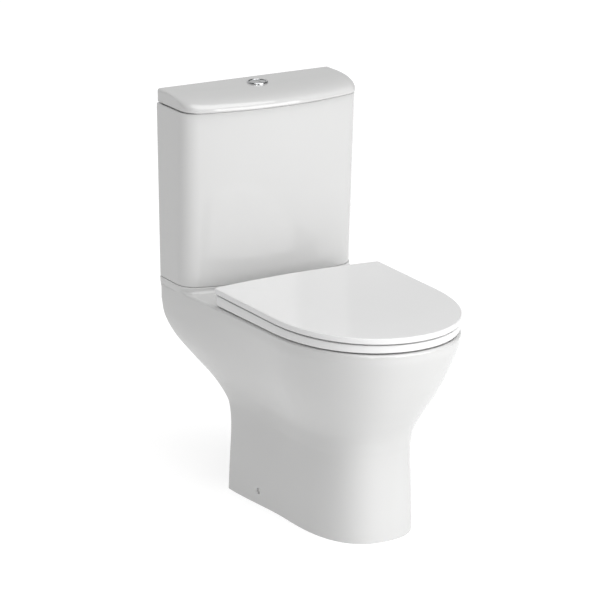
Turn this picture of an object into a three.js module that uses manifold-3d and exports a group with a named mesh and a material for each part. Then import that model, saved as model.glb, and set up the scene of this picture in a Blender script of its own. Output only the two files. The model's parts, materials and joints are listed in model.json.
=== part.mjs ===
// Close coupled toilet: a vitreous china pan with a hollow foot that is open at the back, a cistern
// bolted onto the pan's shelf, and a slim seat and cover on hinges.
// Millimetres. X to the right, +Y towards the wall, +Z up. The origin is on the floor, under the
// middle of the whole object.
import * as THREE from "three";
import { mergeVertices } from "three/addons/utils/BufferGeometryUtils.js";
import Module from "manifold-3d";

const wasm = await Module();
wasm.setup();

// ---- Driving dimensions ----

const WALL_Y = 326;
const RIM_FRONT_Y = -318;

// The Y of the whole object's middle in this layout; add() moves every piece by it onto the origin.
const MIDDLE_Y = (WALL_Y + RIM_FRONT_Y) / 2;

// Levels, from the floor up.
const DECK_Z = 391;
const SHELF_Z = 398.5;
const CISTERN_TOP_Z = 737.5;
const LID_TOP_Z = 765;
const GAP = 0.3;

// The deck climbs gently from the shelf to the front; DECK_Z is its level at Y = 0.
const DECK_SLOPE = 0.0139;
const DECK_SLOPE_BOTTOM_Z = 300;

// China wall thicknesses.
const PAN_WALL = 11;
const BOWL_WALL = 10;
const CISTERN_WALL = 9;
const DECK_THICKNESS = 14;

// Pan foot and rim outlines, which the sides blend between.
const FOOT = { wide: 101.5, front: -205, widestY: -19, back: 186.5, backWide: 118, corner: 9 };
const RIM = { wide: 172, front: RIM_FRONT_Y, widestY: -70.5, back: WALL_Y, backWide: 186, corner: 12 };
const RIM_EDGE_RADIUS = 8;
const FOOT_SPREAD = 3.2;
const FOOT_SPREAD_TOP_Z = 130;

// How far the front and the back have spread from the foot to the rim, at heights above the floor.
const FRONT_SPREAD = [
  [165, 0], [200, 0.075], [235, 0.265], [270, 0.485], [305, 0.68], [340, 0.845], [370, 0.965], [DECK_Z, 1],
];
const BACK_SPREAD = [
  [0, 0], [60, -0.02], [130, -0.045], [165, -0.03], [185, 0.012], [220, 0.21], [255, 0.51], [290, 0.79],
  [325, 0.95], [360, 1],
];

// Cistern, lid and shelf outlines.
const CISTERN_BASE = { half: 185.3, front: 191.2, corner: 43 };
const CISTERN_TOP = { half: 188.2, front: 178.4, corner: 37.5 };
const SHELF = { half: 186, front: 189.5, corner: 43 };
const FRONT_BOW_RADIUS = 557;
const CISTERN_BACK_RADIUS = 6;

// Seat and cover. The cover overhangs the ring, and the ring's underside follows the deck.
const SEAT = {
  wide: 176, front: RIM_FRONT_Y, widestY: -69, back: 121.5, backWide: 178, corner: 6,
  powers: [2.06, 2.34],
};
const RING_INSET = 3;
const RING_CLEARANCE = 2.8;
const RING_TOP_Z = 413.4;
const COVER_BOTTOM_Z = 415.4;
const COVER_TOP_Z = 427;
const COVER_BACK_BOW = 12;
const SEAT_OPENING = { wide: 108, front: -262, widestY: -114, back: 26 };

// Hinge line of the seat and the cover.
const HINGE_X = 77.5;
const HINGE_Y = SEAT.back + 0.5;
const HINGE_Z = RING_TOP_Z + 0.5;
const KNUCKLE_RADIUS = 6;
const HINGE_ROOM = 7.2;
const PIN_RADIUS = 2.5;
const POST_WIDTH = 19;

// Flush valve, fill valve and buttons.
const VALVE_Y = 252;
const FILL_X = -126;
const FILL_Y = 258;
const BUTTON_Y = 271;
const BUTTON_SPLIT_X = 4;
const COUPLING_BOLT_X = 75;
const CISTERN_FLOOR_Z = SHELF_Z + GAP + 11;

// ---- Materials ----

function finish(color, roughness, metalness) {
  return new THREE.MeshStandardMaterial({ color, roughness, metalness });
}

const CHINA = finish(0xf7f7f5, 0.08, 0);
const DUROPLAST = finish(0xf9f9f8, 0.12, 0);
const CHROME = finish(0xc9cbce, 0.08, 1);
const STEEL = finish(0xa9abad, 0.3, 1);
const BRASS = finish(0xb89a55, 0.3, 1);
const RUBBER = finish(0x222222, 0.85, 0);
const WHITE_PLASTIC = finish(0xf0f0ee, 0.35, 0);
const GREY_PLASTIC = finish(0x8d9296, 0.4, 0);
const BLUE_PLASTIC = finish(0x3f6ea5, 0.4, 0);
const SOFT_PAD = finish(0xdededc, 0.7, 0);

const toilet = new THREE.Group();

function add(name, geometry, material) {
  const mesh = new THREE.Mesh(geometry.translate(0, -MIDDLE_Y, 0), material);
  mesh.name = name;
  toilet.add(mesh);
  return mesh;
}

// ---- Solids ----

function solid(geometry) {
  const bare = geometry.clone();
  bare.deleteAttribute("normal");
  bare.deleteAttribute("uv");
  const merged = mergeVertices(bare);
  const vertProperties = new Float32Array(merged.attributes.position.array);
  const triVerts = new Uint32Array(merged.index.array);
  return new wasm.Manifold(new wasm.Mesh({ numProp: 3, vertProperties, triVerts }));
}

function geometryOf(manifold) {
  const mesh = manifold.getMesh();
  const geometry = new THREE.BufferGeometry();
  geometry.setAttribute("position", new THREE.BufferAttribute(mesh.vertProperties, 3));
  geometry.setIndex(new THREE.BufferAttribute(mesh.triVerts, 1));
  return geometry;
}

const joined = (first, ...others) => others.reduce((sum, other) => sum.add(other), first);
const without = (first, ...others) => others.reduce((rest, other) => rest.subtract(other), first);

// A closed skin over rings that run anticlockwise seen from the last ring, closed by a fan at each end.
function loft(rings) {
  const size = rings[0].length;
  const points = rings.flat();
  const faces = [];
  for (let level = 0; level < rings.length - 1; level += 1) {
    for (let i = 0; i < size; i += 1) {
      const a = level * size + i;
      const b = level * size + ((i + 1) % size);
      faces.push(a, b, b + size, a, b + size, a + size);
    }
  }
  const fan = (level, flip) => {
    const ring = rings[level];
    const centre = [0, 1, 2].map((axis) => ring.reduce((sum, p) => sum + p[axis], 0) / size);
    const hub = points.push(centre) - 1;
    for (let i = 0; i < size; i += 1) {
      const a = level * size + i;
      const b = level * size + ((i + 1) % size);
      faces.push(...(flip ? [b, a, hub] : [a, b, hub]));
    }
  };
  fan(0, true);
  fan(rings.length - 1, false);
  const geometry = new THREE.BufferGeometry();
  geometry.setAttribute("position", new THREE.Float32BufferAttribute(points.flat(), 3));
  geometry.setIndex(faces);
  return geometry;
}

const atHeight = (outline, z) => outline.map(([x, y]) => [x, y, z]);

// Upright cylinder or ring between two levels.
function upright(radius, bottom, top, x, y, sides = 24) {
  const geometry = new THREE.CylinderGeometry(radius, radius, top - bottom, sides);
  geometry.rotateX(Math.PI / 2);
  geometry.translate(x, y, (top + bottom) / 2);
  return geometry;
}

function tubeUpright(outer, inner, bottom, top, x, y, sides = 24) {
  const profile = [[inner, bottom], [outer, bottom], [outer, top], [inner, top], [inner, bottom]];
  return turned(profile, x, y, sides);
}

// Turned piece from a closed profile of [radius, height] points.
function turned(profile, x, y, sides = 24) {
  const geometry = new THREE.LatheGeometry(profile.map(([r, z]) => new THREE.Vector2(r, z)), sides);
  geometry.rotateX(Math.PI / 2);
  geometry.translate(x, y, 0);
  return geometry;
}

function box(x0, x1, y0, y1, z0, z1) {
  const geometry = new THREE.BoxGeometry(x1 - x0, y1 - y0, z1 - z0);
  geometry.translate((x0 + x1) / 2, (y0 + y1) / 2, (z0 + z1) / 2);
  return geometry;
}

// Box between two distances from the middle plane, on one side of it.
function sideBox(side, inner, outer, y0, y1, z0, z1) {
  const [x0, x1] = side > 0 ? [inner, outer] : [-outer, -inner];
  return box(x0, x1, y0, y1, z0, z1);
}

// Cylinder along X between two places.
function crosswise(radius, x0, x1, y, z, sides = 16) {
  const geometry = new THREE.CylinderGeometry(radius, radius, Math.abs(x1 - x0), sides);
  geometry.rotateZ(Math.PI / 2);
  geometry.translate((x0 + x1) / 2, y, z);
  return geometry;
}

// Hexagon nut with a plain bore, or a hexagon head when the bore is 0.
function hexagon(acrossFlats, bore, bottom, top, x, y) {
  const body = upright(acrossFlats / Math.sqrt(3), bottom, top, x, y, 6);
  if (bore === 0) {
    return body;
  }
  return geometryOf(without(solid(body), solid(upright(bore, bottom - 1, top + 1, x, y))));
}

// ---- Plan outlines ----

const clamp = (t) => Math.min(Math.max(t, 0), 1);
const easeBoth = (t) => clamp(t) ** 2 * (3 - 2 * clamp(t));
const blend = (a, b, t) => a + (b - a) * t;

// A smooth curve through [height, value] pairs, level beyond both ends.
function along(pairs, z) {
  const last = pairs.length - 1;
  if (z <= pairs[0][0]) {
    return pairs[0][1];
  }
  if (z >= pairs[last][0]) {
    return pairs[last][1];
  }
  const slope = (i) => {
    const [before, after] = [pairs[Math.max(i - 1, 0)], pairs[Math.min(i + 1, last)]];
    return (after[1] - before[1]) / (after[0] - before[0]);
  };
  const i = pairs.findIndex((pair) => z < pair[0]) - 1;
  const [[z0, value0], [z1, value1]] = [pairs[i], pairs[i + 1]];
  const span = z1 - z0;
  const t = (z - z0) / span;
  const bend0 = span * slope(i) * t * (1 - t) ** 2;
  const bend1 = span * slope(i + 1) * t * t * (1 - t);
  return value0 * (1 + 2 * t) * (1 - t) ** 2 + value1 * t * t * (3 - 2 * t) + bend0 - bend1;
}

// The deck's level over a place, and a ring of points moved with the deck the nearer it is to it.
const deckAt = (y) => DECK_Z - DECK_SLOPE * y;
const withDeck = (ring) => ring.map(([x, y, z]) => {
  const share = clamp((z - DECK_SLOPE_BOTTOM_Z) / (DECK_Z - RIM_EDGE_RADIUS - DECK_SLOPE_BOTTOM_Z));
  return [x, y, z - DECK_SLOPE * y * share];
});

// The right half runs from the front middle to the back middle; the left half mirrors it.
const mirrored = (half) => [...half, ...half.slice(1, -1).reverse().map(([x, y]) => [-x, y])];

const FRONT_STEPS = 10;
const SIDE_STEPS = 4;
const CORNER_STEPS = 2;

// A long rounded front, sides that ease to the back width, and small back corners.
function lobe(shape, inset = 0) {
  const wide = shape.wide - inset;
  const front = shape.front + inset;
  const backWide = shape.backWide - inset;
  const back = shape.back - inset;
  const corner = Math.max(shape.corner - inset, 1);
  const [across, lengthways] = shape.powers;
  const half = [];
  for (let i = 0; i <= FRONT_STEPS; i += 1) {
    const turn = (i / FRONT_STEPS) * (Math.PI / 2);
    const y = shape.widestY - (shape.widestY - front) * Math.cos(turn) ** (2 / lengthways);
    half.push([i === 0 ? 0 : wide * Math.sin(turn) ** (2 / across), y]);
  }
  const cornerStart = back - corner;
  for (let i = 1; i <= SIDE_STEPS; i += 1) {
    const t = i / SIDE_STEPS;
    half.push([blend(wide, backWide, easeBoth(t)), blend(shape.widestY, cornerStart, t)]);
  }
  for (let i = 1; i <= CORNER_STEPS; i += 1) {
    const turn = (i / CORNER_STEPS) * (Math.PI / 2);
    const x = backWide - corner + corner * Math.cos(turn);
    half.push([x, cornerStart + corner * Math.sin(turn)]);
  }
  const bow = shape.bow ?? 0;
  if (bow > 0) {
    half.push([(backWide - corner) / 2, back + bow * 0.75]);
  }
  half.push([0, back + bow]);
  return mirrored(half);
}

// A closed egg: the front half and the back half are two different ellipse-like curves.
function egg(shape, inset = 0, steps = 10) {
  const wide = shape.wide - inset;
  const half = [];
  for (let i = 0; i <= 2 * steps; i += 1) {
    const turn = (i / (2 * steps)) * Math.PI;
    const reach = i <= steps ? shape.widestY - shape.front - inset : shape.back - inset - shape.widestY;
    const bulge = Math.sign(Math.cos(turn)) * Math.abs(Math.cos(turn)) ** 0.9;
    const x = i === 0 || i === 2 * steps ? 0 : wide * Math.sin(turn) ** 0.9;
    half.push([x, shape.widestY - reach * bulge]);
  }
  return mirrored(half);
}

// Cistern outline: a gently bowed front, rounded front corners, straight sides and a flat back.
function cisternOutline(shape, inset = 0, back = WALL_Y, frontInset = inset) {
  const half = shape.half - inset;
  const corner = Math.max(shape.corner - inset, 4);
  const bowCentreY = shape.front + frontInset + FRONT_BOW_RADIUS;
  const cornerX = half - corner;
  const cornerY = bowCentreY - Math.sqrt((FRONT_BOW_RADIUS - corner) ** 2 - cornerX ** 2);
  const bowEnd = Math.atan2(cornerX, bowCentreY - cornerY);
  const points = [];
  const bowSteps = 6;
  for (let i = 0; i <= bowSteps; i += 1) {
    const turn = (i / bowSteps) * bowEnd;
    const x = FRONT_BOW_RADIUS * Math.sin(turn);
    points.push([x, bowCentreY - FRONT_BOW_RADIUS * Math.cos(turn)]);
  }
  const cornerSteps = 5;
  for (let i = 1; i <= cornerSteps; i += 1) {
    const turn = blend(bowEnd, Math.PI / 2, i / cornerSteps);
    points.push([cornerX + corner * Math.sin(turn), cornerY - corner * Math.cos(turn)]);
  }
  const backRadius = Math.max(CISTERN_BACK_RADIUS - inset, 2);
  const backY = back - inset;
  for (let i = 0; i <= CORNER_STEPS; i += 1) {
    const turn = (i / CORNER_STEPS) * (Math.PI / 2);
    const x = half - backRadius + backRadius * Math.cos(turn);
    points.push([x, backY - backRadius + backRadius * Math.sin(turn)]);
  }
  points.push([0, backY]);
  return mirrored(points);
}

// ---- Pan ----

// The pan's outline at a height.
function panShape(z) {
  const frontSpread = along(FRONT_SPREAD, z);
  const backSpread = along(BACK_SPREAD, z);
  const spread = FOOT_SPREAD * (1 - clamp(z / FOOT_SPREAD_TOP_Z) ** 2);
  return {
    wide: blend(FOOT.wide, RIM.wide, frontSpread) + spread,
    front: blend(FOOT.front, RIM.front, frontSpread) - spread,
    widestY: blend(FOOT.widestY, RIM.widestY, frontSpread),
    back: blend(FOOT.back, RIM.back, backSpread),
    backWide: blend(FOOT.backWide, RIM.backWide, backSpread),
    corner: blend(FOOT.corner, RIM.corner, clamp(backSpread)),
    powers: [blend(2.5, 2.3, frontSpread), blend(2.7, 2.2, frontSpread)],
  };
}

const PAN_LEVELS = [0, 60, 130, 165, 190, 215, 240, 265, 290, 315, 340, 362];
const CAVITY_LEVELS = [60, 130, 165, 190, 220, 255, 290, 320, 345];

function panOutside() {
  const rings = PAN_LEVELS.map((z) => atHeight(lobe(panShape(z)), z));
  const edgeSteps = 3;
  for (let i = 0; i <= edgeSteps; i += 1) {
    const turn = (i / edgeSteps) * (Math.PI / 2);
    const z = DECK_Z - RIM_EDGE_RADIUS * (1 - Math.sin(turn));
    const inset = RIM_EDGE_RADIUS * (1 - Math.cos(turn));
    rings.push(atHeight(lobe(panShape(DECK_Z), inset), z));
  }
  return loft(rings.map(withDeck));
}

// The hollow inside the foot is open at the floor and at the back.
function panCavity() {
  const top = DECK_Z - DECK_THICKNESS;
  const section = (z) => {
    const shape = panShape(z);
    return { ...shape, back: shape.back + 3 * PAN_WALL, corner: PAN_WALL + 2 };
  };
  const rings = [atHeight(lobe(section(0), PAN_WALL), -5)];
  for (const z of CAVITY_LEVELS) {
    rings.push(atHeight(lobe(section(z), PAN_WALL), z));
  }
  rings.push(atHeight(lobe(section(top - PAN_WALL), PAN_WALL), top - PAN_WALL));
  rings.push(atHeight(lobe(section(top), PAN_WALL + 8), top));
  return loft(rings.map(withDeck));
}

// Bowl levels, from the rim down to the bottom of the water seal.
const BOWL = [
  { z: DECK_Z, wide: 118, front: -275, widestY: -115, back: 36 },
  { z: 350, wide: 114, front: -266, widestY: -111, back: 33 },
  { z: 300, wide: 99, front: -232, widestY: -95, back: 29 },
  { z: 255, wide: 78, front: -178, widestY: -72, back: 25 },
  { z: 214, wide: 59, front: -124, widestY: -49, back: 21 },
  { z: 165, wide: 45, front: -84, widestY: -32, back: 17 },
  { z: 120, wide: 36, front: -59, widestY: -24, back: 12 },
  { z: 92, wide: 22, front: -40, widestY: -20, back: 0 },
];

function bowlSkin(grow, topZ) {
  const rings = BOWL.map((level, i) => {
    const z = i === BOWL.length - 1 ? level.z - grow : level.z;
    return atHeight(egg(level, -grow, 6), i === 0 ? topZ : z);
  });
  return loft(rings.reverse());
}

// A round passage in the middle plane. Each station gives the centre's Y and Z, the way the passage
// heads there (0 is towards the wall, a quarter turn is up) and its radius.
function passage(stations, sides = 14) {
  const rings = stations.map(([y, z, heading, radius]) => {
    const ring = [];
    for (let k = 0; k < sides; k += 1) {
      const turn = (k / sides) * 2 * Math.PI;
      const rise = radius * Math.sin(turn);
      ring.push([radius * Math.cos(turn), y + rise * Math.sin(heading), z - rise * Math.cos(heading)]);
    }
    return ring;
  });
  return loft(rings);
}

// Stations round a bend about a centre; the passage turns upwards when its heading grows.
function bend(centre, from, to, startRadius, endRadius, steps) {
  const side = Math.sign(to - from);
  const stations = [];
  for (let i = 0; i <= steps; i += 1) {
    const heading = blend(from, to, i / steps);
    const y = centre.y + side * centre.radius * Math.sin(heading);
    const z = centre.z - side * centre.radius * Math.cos(heading);
    stations.push([y, z, heading, blend(startRadius, endRadius, i / steps)]);
  }
  return stations;
}

const QUARTER = Math.PI / 2;

// Trap: down from the bowl, up over the weir, and out to the level outlet spigot.
const OUTLET_Y = 258;
const OUTLET_Z = 185;
const TRAP_TURN = 50;
const TRAP_LOW_Z = 120;
const UP_LEG_Y = 84;
const WEIR_Z = 250;
const TRAP_BORE = 35;
const TRAP_WALL = 9;
const SPIGOT_BORE = 42;
const SPIGOT_TURN = 55;
const SPIGOT_BEND_Y = 237;
const TRAP_START = -0.26;
const TRAP_RUN = 42;
const WEIR_END = -0.87;

function trap(wall, beyond) {
  const bore = TRAP_BORE + wall;
  const spigot = SPIGOT_BORE + wall;
  const low = { y: UP_LEG_Y - TRAP_TURN, z: TRAP_LOW_Z + TRAP_TURN, radius: TRAP_TURN };
  const high = { y: UP_LEG_Y + TRAP_TURN, z: WEIR_Z - TRAP_TURN, radius: TRAP_TURN };
  const out = { y: SPIGOT_BEND_Y, z: OUTLET_Z + SPIGOT_TURN, radius: SPIGOT_TURN };
  const lowBend = bend(low, TRAP_START, QUARTER, bore, bore, 4);
  const weir = bend(high, QUARTER, WEIR_END, bore, bore + 2, 5);
  const last = bend(out, WEIR_END, 0, bore + 3, spigot, 3);
  const [startY, startZ] = lowBend[0];
  const backY = startY - TRAP_RUN * Math.cos(TRAP_START);
  const backZ = startZ - TRAP_RUN * Math.sin(TRAP_START);
  const end = [OUTLET_Y + beyond, OUTLET_Z, 0, spigot];
  return passage([[backY, backZ, TRAP_START, bore], ...lowBend, ...weir, ...last, end]);
}

// Flush channel: from the inlet under the cistern to the back of the bowl.
const CHANNEL_BORE = 22;
const CHANNEL_WALL = 7;
const CHANNEL_TURN = 33;
const CHANNEL_Z = 340;
const CHANNEL_END_Y = 40;

// It is followed from the bowl backwards, and then turns up into the inlet.
function channel(wall, topZ) {
  const radius = CHANNEL_BORE + wall;
  const centre = { y: VALVE_Y - CHANNEL_TURN, z: CHANNEL_Z + CHANNEL_TURN, radius: CHANNEL_TURN };
  const turn = bend(centre, 0, QUARTER, radius, radius, 3);
  const bowlEnd = [CHANNEL_END_Y - (wall > 0 ? 0 : 15), CHANNEL_Z, 0, radius];
  return passage([bowlEnd, ...turn, [VALVE_Y, topZ, QUARTER, radius]], 12);
}

const INLET_RECESS_RADIUS = 45;
const INLET_RECESS_Z = SHELF_Z - 26;
const HINGE_HOLE_Y = 105;
const SIDE_HOLE_Y = 76;
const SIDE_HOLE_Z = 27;
const SIDE_HOLE_RADIUS = 6;

function makePan() {
  const shelfOutline = cisternOutline(SHELF);
  const shelf = loft([atHeight(shelfOutline, DECK_Z - DECK_THICKNESS), atHeight(shelfOutline, SHELF_Z)]);
  const skin = without(joined(solid(panOutside()), solid(shelf)), solid(panCavity()));
  const bowlOutside = solid(bowlSkin(BOWL_WALL, DECK_Z - 4));
  const trapOutside = solid(trap(TRAP_WALL, 0));
  const channelOutside = solid(channel(CHANNEL_WALL, SHELF_Z - 12));
  const inletBoss = solid(upright(INLET_RECESS_RADIUS + 8, INLET_RECESS_Z - 8, SHELF_Z - 2, 0, VALVE_Y));
  const casting = joined(skin, bowlOutside, trapOutside, channelOutside, inletBoss);
  const hollows = [
    bowlSkin(0, DECK_Z + 8),
    trap(0, 4),
    channel(0, SHELF_Z + 3),
    upright(INLET_RECESS_RADIUS, INLET_RECESS_Z, SHELF_Z + 5, 0, VALVE_Y, 24),
    upright(20, SHELF_Z - 100, SHELF_Z + 5, FILL_X, FILL_Y, 16),
  ];
  for (const side of [-1, 1]) {
    hollows.push(upright(7, SHELF_Z - 60, SHELF_Z + 5, side * COUPLING_BOLT_X, VALVE_Y, 12));
    hollows.push(upright(7, SHELF_Z - 60, SHELF_Z + 5, side * HINGE_X, HINGE_HOLE_Y, 12));
    const [inner, outer] = [side * (FOOT.wide - 30), side * (FOOT.wide + 30)];
    hollows.push(crosswise(SIDE_HOLE_RADIUS, inner, outer, SIDE_HOLE_Y, SIDE_HOLE_Z, 14));
  }
  return geometryOf(without(casting, ...hollows.map(solid)));
}

add("pan", makePan(), CHINA);

// ---- Cistern ----

const FLUSH_HOLE_RADIUS = 32;

function makeCistern() {
  const span = CISTERN_TOP_Z - (SHELF_Z + GAP);
  const shape = (z) => {
    const t = (z - SHELF_Z - GAP) / span;
    const mixed = (key) => blend(CISTERN_BASE[key], CISTERN_TOP[key], t);
    return { half: mixed("half"), front: mixed("front"), corner: mixed("corner") };
  };
  const ring = (z, inset) => atHeight(cisternOutline(shape(z), inset), z);
  const bottom = SHELF_Z + GAP;
  const outside = loft([
    ring(bottom, 3), ring(bottom + 3, 0), ring(CISTERN_TOP_Z - 2, 0), ring(CISTERN_TOP_Z, 2),
  ]);
  const inside = loft([
    ring(CISTERN_FLOOR_Z, CISTERN_WALL + 10),
    ring(CISTERN_FLOOR_Z + 10, CISTERN_WALL),
    ring(CISTERN_TOP_Z + 5, CISTERN_WALL),
  ]);
  const holes = [
    upright(FLUSH_HOLE_RADIUS, bottom - 5, CISTERN_FLOOR_Z + 5, 0, VALVE_Y),
    upright(11.5, bottom - 5, CISTERN_FLOOR_Z + 5, FILL_X, FILL_Y, 16),
    upright(6.5, bottom - 5, CISTERN_FLOOR_Z + 5, COUPLING_BOLT_X, VALVE_Y, 12),
    upright(6.5, bottom - 5, CISTERN_FLOOR_Z + 5, -COUPLING_BOLT_X, VALVE_Y, 12),
  ];
  return geometryOf(without(solid(outside), solid(inside), ...holes.map(solid)));
}

add("cistern", makeCistern(), CHINA);

// ---- Cistern lid ----

const LID_EDGE_Z = CISTERN_TOP_Z + 2.2;
const LID_ROLL_DEPTH = 88;
const LID_SIDE_RADIUS = 5;
const LID_SHAPE = { half: 186, front: 172, corner: 39 };
const LID_CEILING_Z = LID_TOP_Z - 8;
const LID_LIP_BOTTOM_Z = CISTERN_TOP_Z - 12;
const LIP_SIDE = 11;
const LIP_FRONT = 18;
const LIP_THICKNESS = 7;

// The front of the lid rolls over in a long curve; its sides and back have a small edge.
function lidRing(z, side, front) {
  return atHeight(cisternOutline(LID_SHAPE, side, WALL_Y, front), z);
}

function makeLid() {
  const height = LID_TOP_Z - LID_EDGE_Z;
  const rings = [
    lidRing(CISTERN_TOP_Z + GAP, 3.5, 3.5), lidRing(LID_EDGE_Z, 3.5, 3.5), lidRing(LID_EDGE_Z + 0.5, 0, 0),
  ];
  const rollSteps = 7;
  for (let i = 1; i <= rollSteps; i += 1) {
    const turn = (i / rollSteps) * (Math.PI / 2);
    const drop = height * (1 - Math.sin(turn) ** 0.8);
    const front = LID_ROLL_DEPTH * (1 - Math.cos(turn) ** 0.8);
    const belowTop = Math.min(drop / LID_SIDE_RADIUS, 1);
    const sideInset = LID_SIDE_RADIUS * (1 - Math.sqrt(1 - (1 - belowTop) ** 2));
    rings.push(lidRing(LID_TOP_Z - drop, sideInset, front));
  }
  const lipTop = LID_EDGE_Z + 4;
  const lip = loft([LID_LIP_BOTTOM_Z, lipTop].map((z) => lidRing(z, LIP_SIDE, LIP_FRONT)));
  const [side, front] = [LIP_SIDE + LIP_THICKNESS, LIP_FRONT + LIP_THICKNESS];
  const hollow = loft([
    lidRing(LID_LIP_BOTTOM_Z - 5, side, front),
    lidRing(lipTop, side, front),
    lidRing(LID_CEILING_Z, side, 66),
  ]);
  const body = without(joined(solid(loft(rings)), solid(lip)), solid(hollow));
  return geometryOf(without(body, solid(upright(19, LID_CEILING_Z - 5, LID_TOP_Z + 5, 0, BUTTON_Y))));
}

add("cistern_lid", makeLid(), CHINA);

// ---- Dual flush button ----

const BEZEL_RADIUS = 20.3;
const BEZEL_TOP_Z = LID_TOP_Z + 3;
const SLEEVE_RADIUS = 18.4;
const SLEEVE_BORE = 16.4;
const SLEEVE_BOTTOM_Z = LID_CEILING_Z - 24;
const BUTTON_RADIUS = 16;
const BUTTON_TRAVEL = 12;
const BUTTON_FACE_Z = LID_TOP_Z + 2;
const BUTTON_UNDERSIDE_Z = BUTTON_FACE_Z - 9;
const ROD_RADIUS = 2.2;
const ROD_BOTTOM_Z = 662;
const FULL_ROD_X = -7;
const HALF_ROD_X = 10;

add("button_bezel", turned([
  [SLEEVE_BORE, SLEEVE_BOTTOM_Z],
  [SLEEVE_RADIUS, SLEEVE_BOTTOM_Z],
  [SLEEVE_RADIUS, LID_TOP_Z + GAP],
  [BEZEL_RADIUS, LID_TOP_Z + GAP],
  [BEZEL_RADIUS, BEZEL_TOP_Z - 1],
  [BEZEL_RADIUS - 1, BEZEL_TOP_Z],
  [SLEEVE_BORE + 0.6, BEZEL_TOP_Z],
  [SLEEVE_BORE, BEZEL_TOP_Z - 0.6],
  [SLEEVE_BORE, SLEEVE_BOTTOM_Z],
], 0, BUTTON_Y, 32), CHROME);

add("bezel_nut", turned([
  [SLEEVE_RADIUS + GAP, LID_CEILING_Z - GAP - 8],
  [27, LID_CEILING_Z - GAP - 8],
  [27, LID_CEILING_Z - GAP],
  [SLEEVE_RADIUS + GAP, LID_CEILING_Z - GAP],
  [SLEEVE_RADIUS + GAP, LID_CEILING_Z - GAP - 8],
], 0, BUTTON_Y, 24), WHITE_PLASTIC);

// Each half of the button is a disc cut along the split line, on its own push rod.
function flushButton(side, rodX) {
  const top = BUTTON_FACE_Z;
  const bottom = BUTTON_UNDERSIDE_Z;
  const disc = solid(upright(BUTTON_RADIUS, bottom, top, 0, BUTTON_Y, 32));
  const clear = 0.4;
  const far = 40;
  const half = side > 0
    ? box(BUTTON_SPLIT_X + clear, far, BUTTON_Y - far, BUTTON_Y + far, bottom - 1, top + 1)
    : box(-far, BUTTON_SPLIT_X - clear, BUTTON_Y - far, BUTTON_Y + far, bottom - 1, top + 1);
  const rod = solid(upright(ROD_RADIUS, ROD_BOTTOM_Z, bottom + 2, rodX, BUTTON_Y, 10));
  return geometryOf(joined(disc.intersect(solid(half)), rod));
}

add("full_flush_button", flushButton(-1, FULL_ROD_X), CHROME);
add("half_flush_button", flushButton(1, HALF_ROD_X), CHROME);

// Return springs stand on the guide, drawn at the length they have with the button pressed home.
const SPRING_FOOT_Z = SLEEVE_BOTTOM_Z + 2 + GAP;
const SPRING_TOP_Z = BUTTON_UNDERSIDE_Z - BUTTON_TRAVEL - 2 * GAP;
for (const [name, x] of [["full_flush_spring", FULL_ROD_X], ["half_flush_spring", HALF_ROD_X]]) {
  add(name, tubeUpright(4.4, 3, SPRING_FOOT_Z, SPRING_TOP_Z, x, BUTTON_Y, 12), STEEL);
}

// The guide closes the bottom of the bezel sleeve and holds the springs and rods upright.
function makeGuide() {
  const plate = upright(SLEEVE_BORE - GAP, SLEEVE_BOTTOM_Z - 1, SLEEVE_BOTTOM_Z + 2, 0, BUTTON_Y, 24);
  const holes = [FULL_ROD_X, HALF_ROD_X].map((x) =>
    upright(ROD_RADIUS + 0.6, SLEEVE_BOTTOM_Z - 5, SLEEVE_BOTTOM_Z + 5, x, BUTTON_Y, 10));
  return geometryOf(without(solid(plate), ...holes.map(solid)));
}

add("button_guide", makeGuide(), WHITE_PLASTIC);

// ---- Flush valve ----

const VALVE_SEAT_Z = CISTERN_FLOOR_Z + 10;
const VALVE_HEAD_BOTTOM_Z = 628;
const VALVE_HEAD_TOP_Z = 678;
const TUBE_RADIUS = 13;
const TUBE_TOP_Z = 600;
const COLLAR_Z = 554;
const WASHER_BOTTOM_Z = CISTERN_FLOOR_Z + GAP;
const WASHER_TOP_Z = WASHER_BOTTOM_Z + 2;
const LEG_RADIUS = 34;
const LEG_HALF_WIDTH = 3.7;

// The body stands on the cistern floor, and its threaded tail passes through to the pan.
function makeValveBody() {
  const floor = WASHER_TOP_Z + GAP;
  const base = turned([
    [24, SHELF_Z - 20], [29, SHELF_Z - 20], [29, floor], [42, floor], [42, floor + 4], [29, VALVE_SEAT_Z],
    [24, VALVE_SEAT_Z], [24, SHELF_Z - 20],
  ], 0, VALVE_Y, 24);
  const legs = [];
  for (let i = 0; i < 4; i += 1) {
    const turn = (i + 0.5) * (Math.PI / 2);
    const [x0, x1] = [-1, 1].map((end) => LEG_RADIUS * Math.cos(turn) + end * LEG_HALF_WIDTH);
    const [y0, y1] = [-1, 1].map((end) => VALVE_Y + LEG_RADIUS * Math.sin(turn) + end * LEG_HALF_WIDTH);
    legs.push(box(x0, x1, y0, y1, floor + 2, VALVE_HEAD_BOTTOM_Z + 1));
  }
  const collar = tubeUpright(36, TUBE_RADIUS + 1, COLLAR_Z, COLLAR_Z + 6, 0, VALVE_Y, 20);
  return geometryOf(joined(solid(base), solid(collar), ...legs.map(solid)));
}

add("flush_valve_body", makeValveBody(), WHITE_PLASTIC);

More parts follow.
